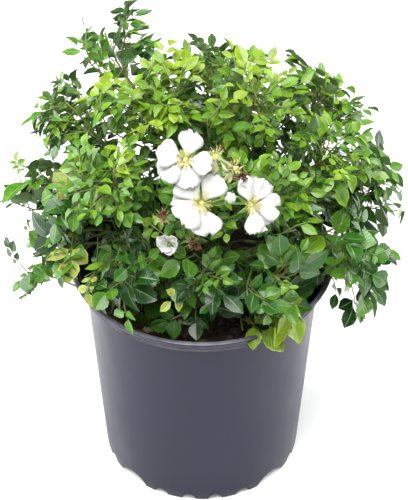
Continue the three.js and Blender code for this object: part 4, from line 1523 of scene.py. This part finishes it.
class ROSE_OT_blossom(bpy.types.Operator):
    """Makes the truss: stalks, open blossoms, buds and spent blooms"""

    bl_idname = "rose.blossom"
    bl_label = "Blossom"
    bl_options = {"REGISTER", "UNDO"}

    filament_length = 0.0062
    filament_radius = (0.00022, 0.00014)
    heart_size = (0.0026, 0.0026, 0.0017)
    hip_size = (0.0024, 0.0024, 0.00324)
    petal_foot = 0.0016
    green = (0.16, 0.3, 0.06)

    # The seed of the first blossom, what it rises by to the buds and to the spent heads, and the
    # seeds of the first fresh and the first limp petal.
    seed = 610
    bud_seeds = 20
    spent_seeds = 40
    fresh_petal_seed = 310
    limp_petal_seed = 330

    # The slots of the anthers and the heart in the stamens' mesh, after the filaments' own.
    fresh_slot = 1
    dark_slot = 2
    heart_slot = 3

    # What is left of a bloom that is past, by its kind: how many petals it has, how far they lean
    # forward or back, their slot, and how many of its stamens are dark. The crumpled has none.
    past = {"crumpled": (6, 60, 0, 0), "spent": (5, -68, 0, 0.35), "dried": (5, 66, 1, 0.95)}

    def execute(self, context):
        look = context.scene.rose_blossom
        self.stamen_count = look.stamens
        self.petals, self.withered = Heap(), Heap()
        self.hearts, self.greens = Heap(), Heap()
        self.fresh_shapes = [petal(self.fresh_petal_seed + i, ruffle=1.7) for i in range(6)]
        self.limp_shapes = [petal(self.limp_petal_seed + i, width=0.52, ruffle=2.6, cup=1.4)
                            for i in range(5)]
        self.sepal_shapes = [sepal()]
        self.rough_ball = ball(1)
        self.smooth_ball = ball(3)
        begin, fork, blooms, buds = truss_layout()
        self.greens.tube(straight(begin, fork), TRUSS_STEM_RADIUS, 8, 4)
        for index, (bloom, centre) in enumerate(zip(BLOOMS, blooms)):
            self.open_bloom(bloom, centre, index)
            self.stalk(fork, centre, bloom["facing"])
        for index, (bud, centre) in enumerate(zip(BUDS, buds)):
            self.head(bud, centre, self.bud_seeds + index)
            self.stalk(fork, centre, bud["facing"])
        for index, head in enumerate(SPENT):
            centre = np.array(head["at"])
            self.head(head, centre, self.spent_seeds + index)
            self.stalk(nearest_limb_point(centre), centre, head["facing"])
        self.finish(look)
        return {"FINISHED"}

    def finish(self, look):
        white = petal_finish("petal", look.petal, look.petal_base)
        finish_piece(self.petals.build("petals", [white]), "petal", "flower_truss")
        faded = [petal_finish("petal_spent", look.spent, tinted(look.spent, 0.8)),
                 petal_finish("petal_dried", look.brown, tinted(look.brown, 0.6), gloss=0.75)]
        finish_piece(self.withered.build("spent_petals", faded), "petal")
        tones = (
            ("filament", (0.62, 0.58, 0.2), (0.78, 0.74, 0.38), (0.5, 0.7)),
            ("anther_fresh", tinted(look.anther, 0.7), look.anther, (0.6, 0.8)),
            ("anther_dark", (0.12, 0.05, 0.02), (0.3, 0.14, 0.04), (0.7, 0.9)),
            ("blossom_heart", (0.42, 0.48, 0.1), (0.62, 0.62, 0.2), (0.5, 0.7)),
        )
        hearts = [mottled(name, two_tone(dark, pale), 300, roughness)
                  for name, dark, pale, roughness in tones]
        finish_piece(self.hearts.build("stamens", hearts), "petal")
        greens = two_tone(tinted(self.green, 0.8), tinted(self.green, 1.3))
        stalks = [mottled("flower_stalk", greens, 110, (0.45, 0.6))]
        finish_piece(self.greens.build("sepals_and_stalks", stalks), "petal")

    def stalk(self, start, centre, facing):
        """A bent stalk from a limb to a head, with the hip under the head."""
        axes = facing_axes(facing)
        front = axes[2]
        foot = centre - front * 0.0035
        middle = lerp(start, foot, 0.5) + UP * 0.002
        bent = Curve(start, middle, foot - front * 0.006, foot)
        self.greens.tube(bent, STALK_RADIUS, 6, 8)
        self.greens.stamp(self.smooth_ball, centre - front * 0.0024, sized(axes, self.hip_size))

    def ring(self, shapes, first, heap, centre, facing, angles, length, lean, slot, draw):
        """Stamps petals or sepals round a head; lean turns them forward of its plane, or back."""
        right, up, front = facing_axes(facing)
        for index, angle in enumerate(angles):
            out = swung(right, up, math.radians(angle))
            across = np.cross(front, out)
            heading = swung(out, front, math.radians(lean + 30 * (draw() - 0.5)))
            size = length * (0.92 + 0.14 * draw())
            across = swung(across, np.cross(heading, across), 0.2 * (draw() - 0.5))
            breadth = size * (0.94 + 0.16 * draw())
            axes = np.array([heading * size, across * breadth, np.cross(heading, across) * size])
            place = centre + out * self.petal_foot + front * 0.0004 * index
            heap.stamp(shapes[(index + first) % len(shapes)], place, axes, [slot] * 3)

    def sepals(self, centre, facing, first_angle, length, lean, draw):
        angles = range(first_angle, first_angle + 360, 72)
        self.ring(self.sepal_shapes, 0, self.greens, centre, facing, angles, length, lean, 0, draw)

    def tuft(self, centre, facing, count, dark_share, spread, draw):
        """A ring of stamens round a low heart, which browns with its anthers."""
        head_axes = facing_axes(facing)
        right, up, front = head_axes
        slot = self.dark_slot if dark_share > 0.9 else self.heart_slot
        self.hearts.stamp(self.smooth_ball, centre + front * 0.0003,
                          sized(head_axes, self.heart_size), [slot])
        for _ in range(count):
            out = swung(right, up, 2 * math.pi * draw())
            splay = math.radians(spread[0] + (spread[1] - spread[0]) * math.sqrt(draw()))
            heading = swung(front, out, splay)
            length = self.filament_length * (0.65 + 0.6 * draw())
            foot = centre + out * 0.0022 + front * 0.0006
            tip = foot + heading * length + front * 0.0012 * draw()
            bent = Curve(foot, foot + front * length * 0.35, tip - heading * length * 0.4, tip)
            self.hearts.tube(bent, self.filament_radius, 3, 3)
            size = 0.0005 * (0.8 + 0.5 * draw())
            slot = self.dark_slot if draw() < dark_share else self.fresh_slot
            axes = sized(head_axes, (size, size * 0.8, size * 0.7))
            self.hearts.stamp(self.rough_ball, tip, axes, [slot])

    def open_bloom(self, bloom, centre, index):
        draw = seeded(self.seed + index)
        facing = bloom["facing"]
        length = BLOOM_RADIUS * bloom["size"] - self.petal_foot
        self.ring(self.fresh_shapes, 2 * index, self.petals, centre, facing, bloom["petals"], length,
                  6, 0, draw)
        self.sepals(centre, facing, 55, 0.0125, -28, draw)
        self.tuft(centre, facing, self.stamen_count, bloom["dark"], (18, 72), draw)

    def head(self, head, centre, index):
        """A bud, or a bloom that is past: what is left of its petals, its sepals and its stamens."""
        draw = seeded(self.seed + index)
        kind, facing, length = head["kind"], head["facing"], head["length"]
        if kind == "bud":
            axes = facing_axes(facing)
            size = (BUD_WIDTH / 2, BUD_WIDTH / 2, length / 2)
            self.petals.stamp(self.smooth_ball, centre + axes[2] * length * 0.3, sized(axes, size))
            self.sepals(centre, facing, 0, length * 0.95, 62, draw)
            return
        is_fresh = kind == "crumpled"
        heap = self.petals if is_fresh else self.withered
        shapes = self.fresh_shapes if is_fresh else self.limp_shapes
        count, lean, slot, dark_share = self.past[kind]
        angles = [360 * (step + 0.6 * draw()) / count for step in range(count)]
        self.ring(shapes, index, heap, centre, facing, angles, length, lean, slot, draw)
        self.sepals(centre, facing, 30, length * 0.7, -40, draw)
        if dark_share:
            self.tuft(centre, facing, self.stamen_count // 2, dark_share, (5, 50), draw)


def nearest_limb_point(place):
    """The nearest place on the crown's twigs and stems that lies lower and further in."""
    reach = np.linalg.norm(place - CENTRE)
    limbs = [limb for mass, twigs, *_ in crown() for limb in [*twigs, mass.stem]]
    points = [limb.at(step / 12) for limb in limbs for step in range(1, 12)]
    behind = [point for point in points
              if point[2] < place[2] and np.linalg.norm(point - CENTRE) < reach]
    return min(behind, key=lambda point: np.linalg.norm(point - place))


class ROSE_OT_stage(bpy.types.Operator):
    """Sets the floor, the soft light and the camera"""

    bl_idname = "rose.stage"
    bl_label = "Stage"
    bl_options = {"REGISTER", "UNDO"}

    aim_height = 0.212
    light_aim = Vector((0, 0, 0.25))

    # The lights, as (name, place, size, share of the key light's power).
    lights = (
        ("key", (-0.22, -0.75, 2.0), 1.4, 1.03),
        ("top", (0.05, 0.5, 1.9), 1.0, 0.33),
        ("side", (-1.5, 0.35, 0.75), 1.2, 0.56),
        ("side", (1.5, 0.35, 0.75), 1.2, 0.56),
    )

    def execute(self, context):
        stage = context.scene.rose_stage
        self.lay_floor(stage)
        self.light(context, stage)
        self.set_camera(context, stage)
        return {"FINISHED"}

    def lay_floor(self, stage):
        bm = bmesh.new()
        bmesh.ops.create_grid(bm, x_segments=8, y_segments=8, size=4)
        floor = place_object("floor", mesh_from(bm, "floor"))
        pale = stage.floor_colour
        stops = [(0.3, tinted(pale, 0.99)), (0.7, pale)]
        material = mottled("floor_finish", stops, 3, (0.85, 0.9), bump=0.02)
        shader = material.node_tree.nodes["Principled BSDF"]
        shader.inputs["Emission Color"].default_value = (1, 1, 1, 1)
        shader.inputs["Emission Strength"].default_value = stage.floor_glow
        floor.data.materials.append(material)

    def light(self, context, stage):
        world = bpy.data.worlds.new("studio")
        world.use_nodes = True
        background = world.node_tree.nodes["Background"]
        background.inputs["Color"].default_value = (1, 1, 1, 1)
        background.inputs["Strength"].default_value = stage.sky_strength
        context.scene.world = world
        for name, place, size, share in self.lights:
            data = bpy.data.lights.new(name, "AREA")
            data.shape = "DISK"
            data.size = size
            data.energy = stage.key_power * share
            lamp = bpy.data.objects.new(name, data)
            context.scene.collection.objects.link(lamp)
            lamp.location = place
            aim = self.light_aim - Vector(place)
            lamp.rotation_euler = aim.to_track_quat("-Z", "Y").to_euler()
        context.scene.view_settings.view_transform = "Standard"

    def set_camera(self, context, stage):
        data = bpy.data.cameras.new("camera")
        data.lens = stage.lens
        data.sensor_width = 36
        data.clip_start = 0.05
        data.clip_end = 30
        # The place that the camera aims at falls a little below and left of the picture's middle.
        picture_height = 500
        data.shift_x = 2 / picture_height
        data.shift_y = 8 / picture_height
        camera = bpy.data.objects.new("camera", data)
        context.scene.collection.objects.link(camera)
        back = Vector((0, -math.cos(stage.elevation), math.sin(stage.elevation)))
        camera.location = Vector((0, 0, self.aim_height)) + back * stage.distance
        camera.rotation_euler = (-back).to_track_quat("-Z", "Y").to_euler()
        context.scene.camera = camera


class ROSE_PT_panel(bpy.types.Panel):
    """Lists the steps that build the rose"""

    bl_idname = "ROSE_PT_panel"
    bl_label = "Potted Rose"
    bl_space_type = "VIEW_3D"
    bl_region_type = "UI"
    bl_category = "Rose"

    def draw(self, context):
        for operator in OPERATORS:
            self.layout.operator(operator.bl_idname)
        for name in SETTINGS:
            settings = getattr(context.scene, name)
            column = self.layout.column()
            for key in settings.__annotations__:
                column.prop(settings, key)


OPERATORS = (ROSE_OT_pot, ROSE_OT_potting_mix, ROSE_OT_canes, ROSE_OT_foliage, ROSE_OT_blossom,
             ROSE_OT_stage)
SETTINGS = {"rose_pot": RosePot, "rose_crown": RoseCrown, "rose_blossom": RoseBlossom,
            "rose_stage": RoseStage}
CLASSES = (*SETTINGS.values(), *OPERATORS, ROSE_PT_panel)


def register():
    for cls in CLASSES:
        bpy.utils.register_class(cls)
    for name, settings in SETTINGS.items():
        setattr(bpy.types.Scene, name, bpy.props.PointerProperty(type=settings))


def unregister():
    for name in SETTINGS:
        delattr(bpy.types.Scene, name)
    for cls in reversed(CLASSES):
        bpy.utils.unregister_class(cls)


def main():
    register()
    bpy.ops.rose.pot()
    bpy.ops.rose.potting_mix()
    bpy.ops.rose.canes()
    bpy.ops.rose.foliage()
    bpy.ops.rose.blossom()
    bpy.ops.rose.stage()


if __name__ == "__main__":
    main()
